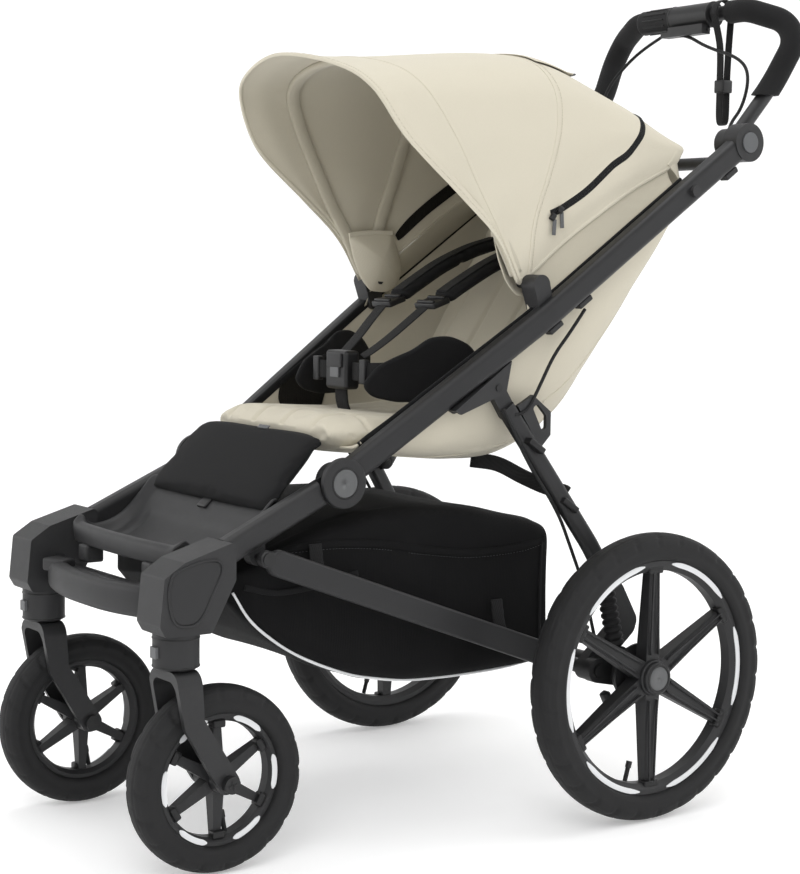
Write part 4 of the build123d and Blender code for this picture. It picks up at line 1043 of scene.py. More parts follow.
# harness
harness = {
    "pad": (0.044, 0.017), "web": (0.025, 0.002), "slope": 0.33,
    "padLine": ((0.062, 0.356, 0.797), (0.061, 0.318, 0.792), (0.0595, 0.27, 0.779), (0.0575, 0.215, 0.757),
                (0.055, 0.165, 0.73), (0.054, 0.1365, 0.713)),
    "webLine": ((0.0515, 0.108, 0.7005), (0.046, 0.085, 0.681), (0.038, 0.058, 0.658), (0.031, 0.034, 0.64),
                (0.026, 0.022, 0.632)),
    # along the strap, proud of it, then the size
    "slider": ((0.0, 0.0, (0.046, 0.03, 0.0085)), (0.0095, 0.0052, (0.038, 0.0055, 0.005)),
               (-0.0095, 0.0052, (0.038, 0.0055, 0.005))),
}
for s, tag in rightFirst:
    line = mirror(s, harness["padLine"])
    pad = strapPiece(f"shoulder_pad_{tag}", line, (1, 0, 0), *harness["pad"], "blackCloth", pad=2.0, count=70,
            ends=0.06)
    press(pad, lambda p: 0.0028 * groove((p[:, 1] - 0.246) * 0.93, 0.004))
    give(pad, "backrest", "black_fabric", "shoulder_pads")
    over = [(x, y, z + 0.0105) for x, y, z in line]
    give(strapPiece(f"shoulder_pad_web_{tag}", over[1:], (1, 0, 0), *harness["web"], "webbing", pad=3,
            count=60), "backrest", "black_fabric")
    tail = mirror(s, harness["webLine"])
    web = strapPiece(f"shoulder_web_{tag}", tail, (1, 0, 0), 0.024, 0.0022, "webbing", pad=3, count=60)
    give(web, "backrest", "black_fabric", "harness_webbing")
    for n, (along, high, size) in enumerate(harness["slider"]):
        y = 0.1212 + along * cos(harness["slope"]) - high * sin(harness["slope"])
        z = 0.7068 + along * sin(harness["slope"]) + high * cos(harness["slope"])
        slider = blockPiece(f"shoulder_slider_{tag}_{n}", (s * 0.053, y, z), size, "darkPlastic",
                            turn=(harness["slope"], 0, 0), rounding=0.0022)
        give(slider, "backrest", "black_plastic", "shoulder_sliders")
    bridge = mirror(s, ((0.053, 0.128, 0.7085), (0.0525, 0.118, 0.7045), (0.0515, 0.108, 0.7005)))
    give(strapPiece(f"shoulder_web_end_{tag}", bridge, (1, 0, 0), 0.022, 0.0022, "webbing", pad=3, count=20),
            "backrest", "black_fabric")
    wing = ((-0.02, 0.596), (-0.006, 0.58), (0.03, 0.572), (0.075, 0.572), (0.118, 0.582), (0.142, 0.602),
            (0.146, 0.63), (0.128, 0.652), (0.1, 0.664), (0.072, 0.662), (0.048, 0.644), (0.024, 0.634),
            (0.0, 0.622))

    def wingX(y, z, s=s):
        return s * (0.082 + 0.36 * (y + 0.02) * 0.8 + 0.1 * (z - 0.57))
    hip = panelPiece(f"hip_pad_{tag}", wing, wingX, -s * 0.006, "blackCloth", 0.0085)
    give(tidyNormals(hip), "upper_frame", "black_fabric", "lap_straps")
    lap = mirror(s, ((0.024, 0.006, 0.612), (0.045, 0.002, 0.612), (0.066, 0.004, 0.613), (0.084, 0.016, 0.614),
            (0.1, 0.045, 0.617)))
    give(strapPiece(f"lap_web_{tag}", lap, (0, 0, 1), 0.025, 0.0022, "webbing", pad=3, count=50), "upper_frame",
            "black_fabric")
    give(blockPiece(f"lap_slider_{tag}", (s * 0.058, 0.003, 0.6125), (0.014, 0.009, 0.034), "darkPlastic"),
            "upper_frame", "black_plastic")
crotch = [(0, 0.004, 0.592), (0, 0.0045, 0.58), (0, 0.006, 0.568), (0, 0.01, 0.556)]
give(strapPiece("crotch_web", crotch, (1, 0, 0), 0.03, 0.004, "webbing", pad=3, count=30), "upper_frame",
        "black_fabric")
give(blockPiece("buckle_face", (0, -0.0072, 0.6265), (0.034, 0.004, 0.02), "castPlastic", rounding=0.0018),
        "upper_frame", "black_plastic")
print("harness made")

# calf panel and foot area
calfSpec = {
    "top": ((-0.114, 0.54), (-0.13, 0.537), (-0.156, 0.514), (-0.182, 0.487), (-0.206, 0.46), (-0.217, 0.446)),
    "bottom": ((-0.113, 0.526), (-0.124, 0.521), (-0.148, 0.499), (-0.174, 0.472), (-0.198, 0.447),
    (-0.209, 0.437)),
    "half": (0.146, 0.155, 0.158, 0.16, 0.161, 0.158)}
calfPad = padPiece("calf_pad", calfSpec["top"], calfSpec["bottom"], calfSpec["half"], "blackCloth", stations=26,
        cornerStart=0.1)
calfPad = puffUp(calfPad, voxel=0.005, pressure=3.0, cap=0.004)
give(calfPad, "front_frame", "black_fabric", "calf_panel")
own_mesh(calfPad)
label = blockPiece("calf_label", (0.018, -0.1335, 0.5395), (0.026, 0.006, 0.0016), "greyPlastic",
        turn=(radians(40), 0, 0), rounding=0.0005)
give(label, "front_frame", "grey_plastic")
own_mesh(label)

scoop = {
    "line": ((-0.199, 0.443), (-0.209, 0.44), (-0.23, 0.417), (-0.252, 0.3975), (-0.276, 0.386), (-0.3, 0.383),
    (-0.314, 0.388), (-0.323, 0.398), (-0.329, 0.404), (-0.336, 0.402), (-0.3385, 0.393), (-0.337, 0.38)),
    "half": (0.16, 0.163, 0.163, 0.16, 0.156, 0.152, 0.15, 0.148, 0.147, 0.146, 0.146, 0.146), "rise": 0.014,
    "thick": 0.004,
    "inset": (0.72, 0.2, 0.47), "depth": 0.0035}


def scoopGrid():
    line = spline(scoop["line"], 70)
    half = np.interp(np.linspace(0, 11, 70), np.arange(12), scoop["half"])
    grid = []
    for r in range(70):
        before, after = line[max(r - 1, 0)], line[min(r + 1, 69)]
        run = (after - before) / np.linalg.norm(after - before)
        up = np.array((run[1], -run[0]))
        v = r / 69
        row = []
        for u in np.linspace(-1, 1, 71):
            level = 1 - smoothStep(0.35, 0.62, v)
            edge = smoothStep(0.86, 1.0, abs(u)) * scoop["rise"] * (1 - 0.75 * smoothStep(0.62, 0.8, v))
            wide, low, high = scoop["inset"]
            inset = smoothStep(wide + 0.03, wide, abs(u)) * smoothStep(low - 0.02, low + 0.01, v)
            inset = inset * smoothStep(high + 0.02, high - 0.01, v)
            bow = -0.01 * (1 - u * u) * smoothStep(0.5, 0.8, v)
            move = -scoop["depth"] * inset
            row.append((half[r] * u * (1 - 0.06 * smoothStep(0.9, 1.0, abs(u)) * smoothStep(0.75, 1.0, v)),
                    line[r][0] + up[0] * move + bow, line[r][1] + up[1] * move + edge + 0.003 * level * u * u))
        grid.append(row)
    return grid


footTray = tidyNormals(gridPiece("foot_tray_shell", scoopGrid(), "castPlastic", thick=scoop["thick"],
        subdivide=1))
give(footTray, "front_frame", "black_plastic", "foot_tray")
for x in (-0.09, 0.09):
    foot = blockPiece(f"foot_tray_foot_{'right' if x < 0 else 'left'}", (x, -0.338, 0.369),
            (0.026, 0.026, 0.024), "castPlastic", rounding=0.004)
    give(foot, "front_frame", "black_plastic")
give(blockPiece("shin_tab", (0.0, -0.214, 0.4385), (0.022, 0.016, 0.005), "darkPlastic",
        turn=(radians(42), 0, 0), rounding=0.002), "front_frame", "black_plastic")

# front beam
beamLine = ((-0.16, -0.352, 0.338), (-0.12, -0.372, 0.338), (-0.06, -0.384, 0.337), (0.0, -0.387, 0.337),
            (0.06, -0.384, 0.337), (0.12, -0.372, 0.338), (0.16, -0.352, 0.338))
beam = strapPiece("front_beam", beamLine, (0, 0, 1), 0.041, 0.026, "castPlastic", pad=2.2, count=80)
give(beam, "front_frame", "black_plastic", "cross_member")
give(blockPiece("beam_back_rib", (0, -0.352, 0.336), (0.29, 0.02, 0.03), "castPlastic", rounding=0.006),
        "front_frame", "black_plastic")
give(blockPiece("beam_clip", (-0.118, -0.372, 0.352), (0.04, 0.026, 0.018), "castPlastic", turn=(0, 0, 0.3),
        rounding=0.005), "front_frame", "black_plastic")
print("foot area made")

# basket
bag = {
    # y, top z, bottom z, half width
    "stations": [(-0.268, 0.366, 0.33, 0.15), (-0.24, 0.38, 0.3, 0.165), (-0.205, 0.396, 0.27, 0.17),
                 (-0.16, 0.413, 0.243, 0.172),
                 (-0.11, 0.427, 0.221, 0.172), (-0.06, 0.437, 0.205, 0.172), (0.0, 0.441, 0.194, 0.172),
                 (0.06, 0.439, 0.19, 0.172), (0.12, 0.431, 0.19, 0.172), (0.18, 0.419, 0.191, 0.172),
                 (0.225, 0.408, 0.194, 0.172), (0.245, 0.4, 0.202, 0.17)],
    "rows": 73, "ring": 120, "square": 9.0, "thick": 0.0022,
}


def bagRing(y, top, bottom, half):
    middle, tall = (top + bottom) / 2, (top - bottom) / 2
    ring = []
    for c in range(bag["ring"]):
        a = 2 * pi * c / bag["ring"]
        ux, uz = bend(cos(a), 2 / bag["square"]), bend(sin(a), 2 / bag["square"])
        x = half * ux - 0.006 * ux * max(0.0, 1 - uz * uz) * min(1, tall / 0.1)
        z = middle + tall * uz
        if abs(uz) > 0.8:
            z += (-0.006 if uz > 0 else 0.008) * (1 - ux * ux)
        ring.append((x, y, z))
    return ring


def bagGrid():
    keys = np.array(bag["stations"])
    t = np.linspace(0, len(keys) - 1, bag["rows"])
    cols = [np.interp(t, np.arange(len(keys)), keys[:, k]) for k in range(4)]
    for k in range(4):
        for _ in range(3):
            inner = 0.25 * cols[k][:-2] + 0.5 * cols[k][1:-1] + 0.25 * cols[k][2:]
            cols[k] = np.concatenate([[cols[k][0]], inner, [cols[k][-1]]])
    rows = [bagRing(*[cols[k][r] for k in range(4)]) for r in range(bag["rows"])]
    grid = np.array(rows, float)
    ends = []
    for row, offset in ((grid[0], -0.004), (grid[-1], 0.008)):
        centre = row.mean(axis=0)
        ends.append([centre + (row - centre) * share + np.array((0, offset * (1 - share ** 2), 0))
                for share in (0.97, 0.7, 0.35, 0.02)])
    full = np.array([*ends[0][::-1], *grid, *ends[1]])
    y, z, x = full[:, :, 1], full[:, :, 2], full[:, :, 0]
    ripple = 0.0018 * np.sin(24 * y + 17 * z) * np.sin(9 * z + 2.0) + 0.0012 * np.sin(55 * y - 31 * z + 8 * x)
    full[:, :, 0] += np.sign(x) * ripple * (np.abs(x) > 0.12)
    full[:, :, 2] += ripple * 0.8 * (np.abs(x) < 0.14)
    return full


basketSkin = tidyNormals(gridPiece("basket_skin", bagGrid(), "basketCloth", thick=bag["thick"],
        closeColumns=True, subdivide=1))
give(basketSkin, "front_frame", "black_fabric", "basket")
basketTree = skinOf(basketSkin)
basketParts = []
for s, tag in rightFirst:
    def onSide(y, z, s=s):
        return castOn(basketTree, (s * 0.4, y, z), (-s, 0, 0))
    low = [onSide(y, z + 0.008) for y, z in ((-0.262, 0.336), (-0.24, 0.3), (-0.205, 0.27), (-0.16, 0.243),
            (-0.11, 0.221), (-0.06, 0.205), (0.0, 0.194), (0.06, 0.19), (0.12, 0.19), (0.18, 0.191),
            (0.236, 0.196))]
    basketParts.append(ribbon(f"basket_piping_{tag}", low, 0.0034, 0.0034, "reflective", lift=0.001, count=160,
            pad=2.0))
    lid = [onSide(y, z) for y, z in ((-0.2, 0.392), (-0.13, 0.398), (-0.05, 0.392), (0.03, 0.378),
            (0.11, 0.368), (0.19, 0.37), (0.238, 0.378))]
    basketParts.append(ribbon(f"basket_lid_hem_{tag}", lid, 0.01, 0.0036, "basketCloth", lift=0.0012,
            count=120))
    basketParts.append(stitchRow(f"basket_lid_stitches_{tag}", lid, "greyPlastic", side=0.0066, lift=0.0014,
            pitch=0.005, radius=0.00025))
    front = [onSide(y, z) for y, z in ((-0.248, 0.35), (-0.2, 0.34), (-0.13, 0.346), (-0.08, 0.356))]
    basketParts.append(ribbon(f"basket_front_binding_{tag}", front, 0.008, 0.003, "blackCloth", lift=0.001,
            count=60))
    corner = [onSide(0.232, z) for z in (0.375, 0.32, 0.26, 0.215)]
    basketParts.append(ribbon(f"basket_corner_seam_{tag}", corner, 0.004, 0.0026, "blackCloth", lift=0.0008,
            count=40))
    for n, y in enumerate((-0.15, 0.15)):
        up = 0.1 if n == 0 else 0.0
        tab = [((s * x, y, z), (s, 0, 0)) for x, z in ((0.1735, 0.3 + up), (0.18, 0.27 + up),
                (0.186, 0.258 + 0.9 * up))]
        basketParts.append(ribbon(f"basket_tab_{tag}_{n}", tab, 0.02, 0.0022, "webbing", count=20))
rear = [castOn(basketTree, (x, 0.6, z), (0, -1, 0))
        for x, z in ((-0.13, 0.345), (-0.06, 0.35), (0, 0.351), (0.06, 0.35), (0.13, 0.345))]
basketParts.append(ribbon("basket_rear_zip", rear, 0.01, 0.0022, "webbing", lift=0.0008, count=60))
basketParts.append(stitchRow("basket_rear_zip_teeth", rear, "darkPlastic", lift=0.0022, pitch=0.0026,
        length=0.0014, radius=0.0012))
for piece in basketParts:
    give(piece, "front_frame", "black_fabric")
print("basket made")

# tyres and wheel trim
rearAxle, frontAxle = pivots["rear_spin_left"], pivots["front_spin_left"]
wheels = {
    "rear": {"x": 0.315, "axle": (rearAxle.y - mid, rearAxle.z), "radius": 0.2, "width": 0.047,
             "height": 0.038, "blocks": 30, "body": "rear_wheel", "spokes": 6},
    "front": {"x": frontAxle.x, "axle": (frontAxle.y - mid, frontAxle.z), "radius": 0.1195,
              "width": 0.046, "height": 0.036, "blocks": 20, "body": "front_wheel", "spokes": 6},
}


def tyrePiece(name, spec, x):
    # the section as an angle about its middle, with a centre rib, shoulder blocks and sidewall lines
    turns, points = spec["blocks"] * 12, 72
    half, tall = spec["width"] / 2, spec["height"] / 2
    middle = spec["radius"] - tall
    phi = np.linspace(0, 2 * pi, points, endpoint=False)[None, :]
    theta = (np.arange(turns) / turns * 2 * pi)[:, None]
    power = np.where(np.cos(phi) < 0, 2 / 5, 2 / 2.5)
    px, pr = bend(np.sin(phi), power) * half, bend(np.cos(phi), power) * tall
    across = np.abs(px) / half
    outer = smoothStep(0.0, 0.35, pr / tall)
    wave = (theta * spec["blocks"] / (2 * pi)) % 1.0
    shifted = (wave + 0.16 * (across - 0.6) * 2) % 1.0
    gap = smoothStep(0.1, 0.05, np.minimum(shifted, 1 - shifted)) * smoothStep(0.42, 0.52, across)
    rib = groove(across - 0.36, 0.035)
    notch = smoothStep(0.07, 0.03, np.abs(wave - 0.5)) * smoothStep(0.34, 0.28, across)
    side = groove(pr / tall - 0.12, 0.05) * 0.0005 - groove(pr / tall + 0.42, 0.05) * 0.0007
    edge = smoothStep(0.05, 0.16, pr / tall) * (0.5 + 0.5 * smoothStep(0.3, 0.22, np.abs(wave - 0.5)))
    cut = 0.0013 * np.maximum(gap * outer, 0.9 * rib * outer) + 0.0008 * notch * outer
    cut = cut - side * (across > 0.6) - 0.0006 * edge * (across > 0.8)
    scale = 1 - cut / (spec["height"] / 2) - 0.0015 / spec["height"] * (pr > 0)
    y = spec["axle"][0] + (middle + pr * scale) * np.sin(theta)
    z = spec["axle"][1] + (middle + pr * scale) * np.cos(theta)
    grid = np.stack([x + px * scale + 0 * theta, y, z], axis=2)
    return gridPiece(name, grid, "tyreRubber", closeRows=True, closeColumns=True)


def arcPiece(name, x0, x1, inner, outer, axle, start, end, finish, steps=14):
    # a thin curved plate between two radii
    grid = []
    for n in range(steps + 1):
        a = start + (end - start) * n / steps
        fade = min(1.0, min(n, steps - n) / 2 + 0.25)
        m = (inner + outer) / 2
        lo, hi = m + (inner - m) * fade, m + (outer - m) * fade
        grid.append([(x, axle[0] + r * sin(a), axle[1] + r * cos(a))
                for x, r in ((x0, lo), (x0, hi), (x1, hi), (x1, lo))])
    obj = gridPiece(name, grid, finish, closeColumns=True)
    capEnds(obj, 4)
    shade(obj.data, False)
    return obj


bellows = {"top": (0.2665, 0.315), "low": (0.2865, 0.237), "radius": 0.013, "dip": 0.0034, "rings": 8}
for s, tag in leftFirst:
    for kind, spec in wheels.items():
        body = f"{spec['body']}_{tag}"
        x = s * spec["x"]
        tyre = tyrePiece(f"{kind}_tyre_tread_{tag}", spec, x)
        give(tidyNormals(tyre), body, "tyre_rubber", f"{kind}_tyre_{tag}")
        seat = spec["radius"] - spec["height"]
        face = 0.0152 if kind == "rear" else 0.0142
        axle = spec["axle"]
        for n in range(spec["spokes"]):
            a = 2 * pi * n / spec["spokes"]
            gap = 0.16 if kind == "rear" else 0.24
            strip = arcPiece(f"{kind}_reflector_{tag}_{n}", x + s * (face - 0.0004), x + s * (face + 0.0008),
                    seat - 0.0078, seat - 0.0006, axle, a + gap, a + 2 * pi / spec["spokes"] - gap,
                    "reflective")
            give(strip, body, "grey_plastic")
            pad = blockPiece(f"{kind}_spoke_pad_{tag}_{n}",
                    (x + s * 0.006, axle[0] + (seat - 0.013) * sin(a), axle[1] + (seat - 0.013) * cos(a)),
                    (0.014, 0.026 if kind == "rear" else 0.018, 0.01), "darkPlastic", turn=(-a, 0, 0),
                    rounding=0.003)
            give(pad, body, "black_plastic")
            for side in (-1, 1) if kind == "rear" else ():
                ridge = [(x + s * 0.0118, axle[0] + r * sin(a) + side * w * cos(a),
                        axle[1] + r * cos(a) - side * w * sin(a))
                        for r, w in ((0.032, 0.0072), (0.08, 0.006), (0.13, 0.0046), (0.147, 0.0042))]
                give(strapPiece(f"{kind}_spoke_edge_{tag}_{n}_{'a' if side < 0 else 'b'}", ridge,
                        (0, cos(a), -sin(a)), 0.0026, 0.003, "rimPlastic", pad=2, count=12), body,
                        "black_plastic")
        stem = pi if kind == "rear" else pi * 0.85
        r0 = seat - 0.012 - (0.003 if kind == "rear" else 0)
        points = [(x + s * 0.002, axle[0] + r * sin(stem + 0.28), axle[1] + r * cos(stem + 0.28))
                for r in (r0, r0 - 0.01, r0 - 0.019, r0 - 0.028)]
        valve = cordPiece(f"{kind}_valve_{tag}", points, 0.0032, "softRubber")
        give(valve, body, "black_plastic")
        cap = cordPiece(f"{kind}_valve_cap_{tag}", points[2:], 0.0042, "darkPlastic")
        give(cap, body, "black_plastic")
    hub = wheels["rear"]
    centre = (s * 0.337, *hub["axle"])
    ring = lathe(f"rear_hub_ring_{tag}", [(-s * 0.002, 0.0165), (s * 0.0008, 0.0168), (s * 0.0014, 0.0178),
            (s * 0.0014, 0.0196), (s * 0.0006, 0.0206), (-s * 0.002, 0.0208)], centre, "darkPlastic")
    give(ring, f"rear_wheel_{tag}", "black_plastic")
    badge = lathe(f"rear_hub_badge_{tag}", [(0.0, 0.0002), (s * 0.0009, 0.0003), (s * 0.0009, 0.01),
            (s * 0.0007, 0.0152), (0.0, 0.0164)], centre, "badgeGrey")
    give(badge, f"rear_wheel_{tag}", "grey_plastic")
    brake = lathe(f"brake_housing_{tag}", [(0.0, 0.012), (0.0, 0.032), (0.004, 0.0365), (0.012, 0.037),
            (0.0135, 0.034), (0.0135, 0.012)], (s * 0.2772 - (0.0 if s > 0 else 0.0135), *hub["axle"]),
            "castPlastic")
    give(brake, "axle_carrier", "black_plastic")
    # ribbed bellows over the spring, held by the leg's foot above and the arm below
    top, low = np.array((s * 0.269, bellows["top"][0], bellows["top"][1])), np.array((s * 0.269,
            bellows["low"][0], bellows["low"][1]))
    run = (low - top) / np.linalg.norm(low - top)
    out = np.cross(run, (1, 0, 0))
    rings = []
    for n in range(bellows["rings"] * 6 + 1):
        share = n / (bellows["rings"] * 6)
        r = bellows["radius"] - bellows["dip"] * (0.5 + 0.5 * cos(2 * pi * n / 6)) ** 1.5
        rings.append([top + (low - top) * share + (np.array((1, 0, 0)) * cos(a) + out * sin(a)) * r
                for a in np.linspace(0, 2 * pi, 36, endpoint=False)])
    boot = gridPiece(f"bellows_boot_{tag}", rings, "softRubber", closeColumns=True)
    capEnds(boot, 36)
    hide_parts("bellows")
    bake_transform(boot)
    knob = blockPiece(f"brake_knob_{tag}", (s * 0.268, hub["axle"][0] - 0.03, hub["axle"][1] - 0.042),
            (0.014, 0.012, 0.034), "darkPlastic", turn=(0.5, 0, 0), rounding=0.004)
    give(knob, "axle_carrier", "black_plastic")
    # axle heads with their cross slot, on both faces of the front hub
    headX = abs(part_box(f"front_axle_{tag}")[1 if s > 0 else 0][0])
    fa = wheels["front"]["axle"]
    for n, turn in enumerate((0.25, 0.25 + pi / 2)):
        bar = blockPiece(f"front_axle_cross_{tag}_{n}", (s * (headX + 0.0002), *fa), (0.0012, 0.0026, 0.012),
                "darkPlastic", turn=(turn, 0, 0), rounding=0.0005)
        give(bar, f"fork_{tag}", "black_plastic")
print("wheels made")

# frame trim
foldPlace, pinX = (pivots["fold"].y - mid, pivots["fold"].z), 0.197
for s, tag in leftFirst:
    disc = lathe(f"fold_badge_{tag}", [(0.0, 0.0002), (s * 0.0005, 0.0003), (s * 0.0005, 0.014),
            (s * 0.0004, 0.0172), (0.0, 0.0182)], (s * pinX, *foldPlace), "badgeGrey")
    give(disc, "upper_frame", "grey_plastic")
    ring = lathe(f"fold_ring_{tag}", [(-s * 0.001, 0.0184), (s * 0.0003, 0.0186), (s * 0.0005, 0.0196),
            (s * 0.0003, 0.0206), (-s * 0.001, 0.0208)], (s * pinX, *foldPlace), "darkPlastic")
    give(ring, "upper_frame", "black_plastic")
    # casting: shield panel on its outer face, and lines round the caster housing
    cx, cy = s * 0.1887, -0.3615
    outline = [(-0.384, 0.382), (-0.374, 0.39), (-0.345, 0.398), (-0.32, 0.398), (-0.314, 0.385),
            (-0.326, 0.36), (-0.34, 0.333), (-0.352, 0.322), (-0.372, 0.322), (-0.383, 0.333), (-0.388, 0.36)]
    panel = panelPiece(f"casting_panel_{tag}", outline, lambda y, z: s * 0.2186, s * 0.0012, "rimPlastic",
            0.0014)
    give(tidyNormals(panel), "front_frame", "black_plastic")
    rimLine = [((s * 0.2188, y, z), (s, 0, 0)) for y, z in outline[1:] + outline[:2]]
    give(ribbon(f"casting_panel_rim_{tag}", rimLine, 0.0034, 0.003, "castPlastic", count=110), "front_frame",
            "black_plastic")
    for n, z in enumerate((0.2685, 0.3035)):
        band = []
        for a in np.linspace(0, 2 * pi, 48, endpoint=False):
            band.append([(cx + (0.029 + e) * cos(a), cy + (0.029 + e) * sin(a), z + h)
                    for e, h in ((0.0, -0.0012), (0.0007, -0.0006), (0.0007, 0.0006), (0.0, 0.0012))])
        give(tidyNormals(gridPiece(f"caster_line_{tag}_{n}", band, "darkPlastic", closeRows=True)),
                "front_frame", "black_plastic")
    # brake cable along each leg, from under the rail down to the brake
    leg = mirror(s, ((0.2245, 0.116, 0.57), (0.23, 0.15, 0.5), (0.234, 0.205, 0.43), (0.23, 0.236, 0.37),
            (0.232, 0.262, 0.31), (0.235, 0.272, 0.262), (0.25, 0.272, 0.225), (0.265, 0.276, 0.212)))
    upper = mirror(s, ((0.218, 0.262, 0.702), (0.22, 0.236, 0.672), (0.22, 0.206, 0.64), (0.219, 0.184, 0.6),
            (0.219, 0.16, 0.56), (0.219, 0.14, 0.56)))
    give(cordPiece(f"leg_cable_{tag}", leg, 0.0024, "softRubber"), "rear_legs", "cable_jacket")
    give(cordPiece(f"rail_cable_{tag}", upper, 0.0024, "softRubber"), "upper_frame", "cable_jacket")
    for n, share in enumerate((0.35, 0.72)):
        y, z = 0.113 + 0.155 * share, 0.597 - 0.227 * share
        clip = blockPiece(f"leg_clip_{tag}_{n}", (s * (0.2215 + 0.0145 * share), y, z), (0.0215, 0.03, 0.009),
                "darkPlastic", turn=(-0.6, 0, 0), rounding=0.002)
        give(clip, "rear_legs", "black_plastic")
    # wide strap from the seat's underside to the leg
    strapLine = mirror(s, ((0.11, 0.15, 0.489), (0.13, 0.182, 0.483), (0.155, 0.208, 0.466),
            (0.185, 0.224, 0.454), (0.212, 0.232, 0.45), (0.226, 0.228, 0.448)))
    strap = strapPiece(f"seat_strap_{tag}", strapLine, (0, 0.55, 0.83), 0.022, 0.0024, "webbing", pad=3,
            count=60)
    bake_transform(strap)
# handlebar cables, their line as the bar's, and the thin lever under the grip module
cable = [(-0.0378, 0.647, 1.127), (0.0, 0.647, 1.127), (0.054, 0.641, 1.101), (0.13, 0.637, 1.079),
        (0.164, 0.625, 1.05), (0.162, 0.614, 1.001), (0.162, 0.585, 0.972), (0.1825, 0.565, 0.954)]
give(cordPiece("brake_cable_long", cable, 0.0025, "softRubber"), "handlebar", "cable_jacket",
        "handlebar_cables")
other = [(-0.05, 0.647, 1.127), (-0.09, 0.645, 1.112), (-0.13, 0.64, 1.086), (-0.16, 0.628, 1.05),
        (-0.162, 0.614, 1.001), (-0.162, 0.585, 0.972), (-0.1825, 0.565, 0.954)]
give(cordPiece("brake_cable_short", other, 0.0025, "softRubber"), "handlebar", "cable_jacket")
give(cordPiece("lever_bar", [(-0.046, 0.65, 1.1285), (-0.02, 0.649, 1.127), (0.02, 0.649, 1.127),
        (0.048, 0.652, 1.1295)], 0.003, "darkPlastic"), "handlebar", "black_plastic")
# wrist strap
loop = [(0.069, 0.678, 1.148), (0.069, 0.6745, 1.1), (0.069, 0.6722, 1.045), (0.069, 0.672, 1.0),
        (0.069, 0.67, 0.986), (0.069, 0.665, 0.9822), (0.069, 0.66, 0.986), (0.069, 0.6578, 1.0),
        (0.069, 0.6576, 1.045), (0.069, 0.656, 1.1), (0.069, 0.644, 1.142), (0.069, 0.6412, 1.153),
        (0.069, 0.6465, 1.1665), (0.069, 0.66, 1.1722), (0.069, 0.6735, 1.1665), (0.069, 0.6788, 1.153),
        (0.069, 0.678, 1.146)]
wrist = strapPiece("wrist_loop", loop, (1, 0, 0), 0.014, 0.0022, "webbing", pad=3, count=150)
give(wrist, "handlebar", "black_fabric", "wrist_strap")
give(blockPiece("wrist_slider", (0.069, 0.665, 1.041), (0.02, 0.0215, 0.02), "darkPlastic", rounding=0.003),
        "handlebar", "black_plastic")
for n, off in enumerate((-0.0055, 0.0055)):
    side = [((0.069 + off, 0.6733, z), (0, 1, 0)) for z in (1.098, 1.075, 1.055)]
    give(stitchRow(f"wrist_stitches_{n}", side, "greyPlastic", lift=0.0006, pitch=0.004, radius=0.0003),
            "handlebar", "black_fabric")
# seams round the foam and the grip module's end rings
for n, (x, r) in enumerate(((-0.034, 0.0202), (0.05, 0.0202), (-0.1045, 0.019))):
    ring = lathe(f"grip_ring_{n}", [(-0.0014, r - 0.001), (-0.0008, r), (0.0008, r), (0.0014, r - 0.001)],
            (x, 0.66, 1.153), "darkPlastic")
    give(ring, "handlebar", "black_plastic")
print("trim made")

# stage and lights
stage = {"floor": 7.0, "edge": 3.0, "colour": (0.86, 0.86, 0.86)}


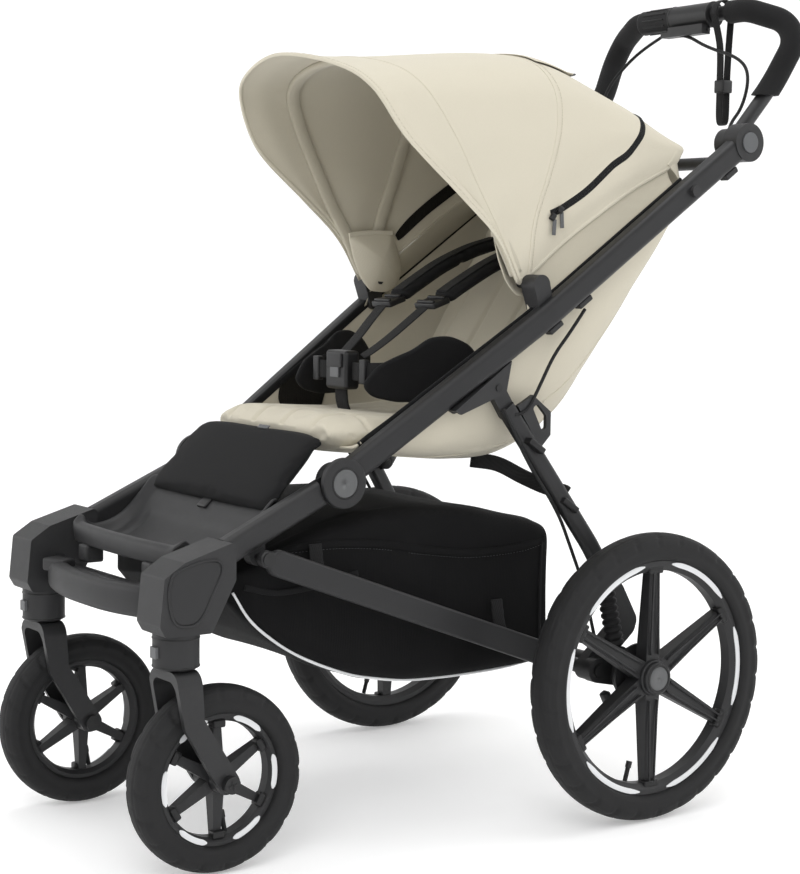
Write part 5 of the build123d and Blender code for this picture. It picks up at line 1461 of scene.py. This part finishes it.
def makeStage():
    profile = [(0.0, 0.0), (1.5, 0.0), (4.0, 0.0), (stage["floor"], 0.0)]
    profile += [(stage["floor"] + stage["edge"] * sin(a), stage["edge"] * (1 - cos(a)))
            for a in np.linspace(0.1, pi / 2, 12)]
    profile += [(stage["floor"] + stage["edge"], 8.0)]
    grid = [[(max(r, 0.001) * cos(a), max(r, 0.001) * sin(a), z) for r, z in profile]
            for a in np.linspace(0, 2 * pi, 96, endpoint=False)]
    obj = gridPiece("studioFloor", grid, "framePaint", closeRows=True)
    tidyNormals(obj, 0.002)
    bm = bmesh.new()
    bm.from_mesh(obj.data)
    bm.faces.ensure_lookup_table()
    if bm.faces[0].normal.z < 0:
        bmesh.ops.reverse_faces(bm, faces=bm.faces)
    bm.to_mesh(obj.data)
    bm.free()
    mat = bpy.data.materials.new("paleFloor")
    mat.use_nodes = True
    tree = mat.node_tree
    shader = tree.nodes["Principled BSDF"]
    noise = noiseNode(tree, tree.nodes.new("ShaderNodeTexCoord").outputs["Object"], 1.2, 3.0)
    ramp = tree.nodes.new("ShaderNodeMix")
    ramp.data_type = "RGBA"
    ramp.inputs["A"].default_value = (*[c - 0.008 for c in stage["colour"]], 1)
    ramp.inputs["B"].default_value = (*[c + 0.008 for c in stage["colour"]], 1)
    tree.links.new(noise.outputs["Fac"], ramp.inputs["Factor"])
    tree.links.new(ramp.outputs["Result"], shader.inputs["Base Color"])
    shader.inputs["Roughness"].default_value = 0.9
    shader.inputs["Specular IOR Level"].default_value = 0.1
    shader.inputs["Emission Color"].default_value = (1, 1, 1, 1)
    shader.inputs["Emission Strength"].default_value = 0.28
    obj.data.materials.clear()
    obj.data.materials.append(mat)


def areaLight(name, place, aim, size, power, colour=(1, 1, 1)):
    data = bpy.data.lights.new(name, "AREA")
    data.shape = "DISK"
    data.size, data.energy, data.color = size, power, colour
    obj = bpy.data.objects.new(name, data)
    obj.location = at(*place)
    obj.rotation_euler = (at(*aim) - at(*place)).to_track_quat("-Z", "Y").to_euler()
    bpy.context.scene.collection.objects.link(obj)


makeStage()
areaLight("keyLight", (2.4, -2.2, 3.4), (0, 0, 0.55), 2.6, 52)
areaLight("topLight", (-0.3, 0.4, 4.2), (0, 0, 0.5), 3.4, 56)
areaLight("sideLight", (-3.2, -2.6, 1.8), (0, 0, 0.5), 2.4, 20)
areaLight("rearLight", (1.8, 3.4, 2.4), (0, 0, 0.6), 2.2, 24)
world = bpy.data.worlds.new("studioAir")
bpy.context.scene.world = world
world.use_nodes = True
world.node_tree.nodes["Background"].inputs["Color"].default_value = (1.0, 1.0, 1.0, 1)
world.node_tree.nodes["Background"].inputs["Strength"].default_value = 0.62
bpy.context.scene.view_settings.view_transform = "Standard"
print("stage made")
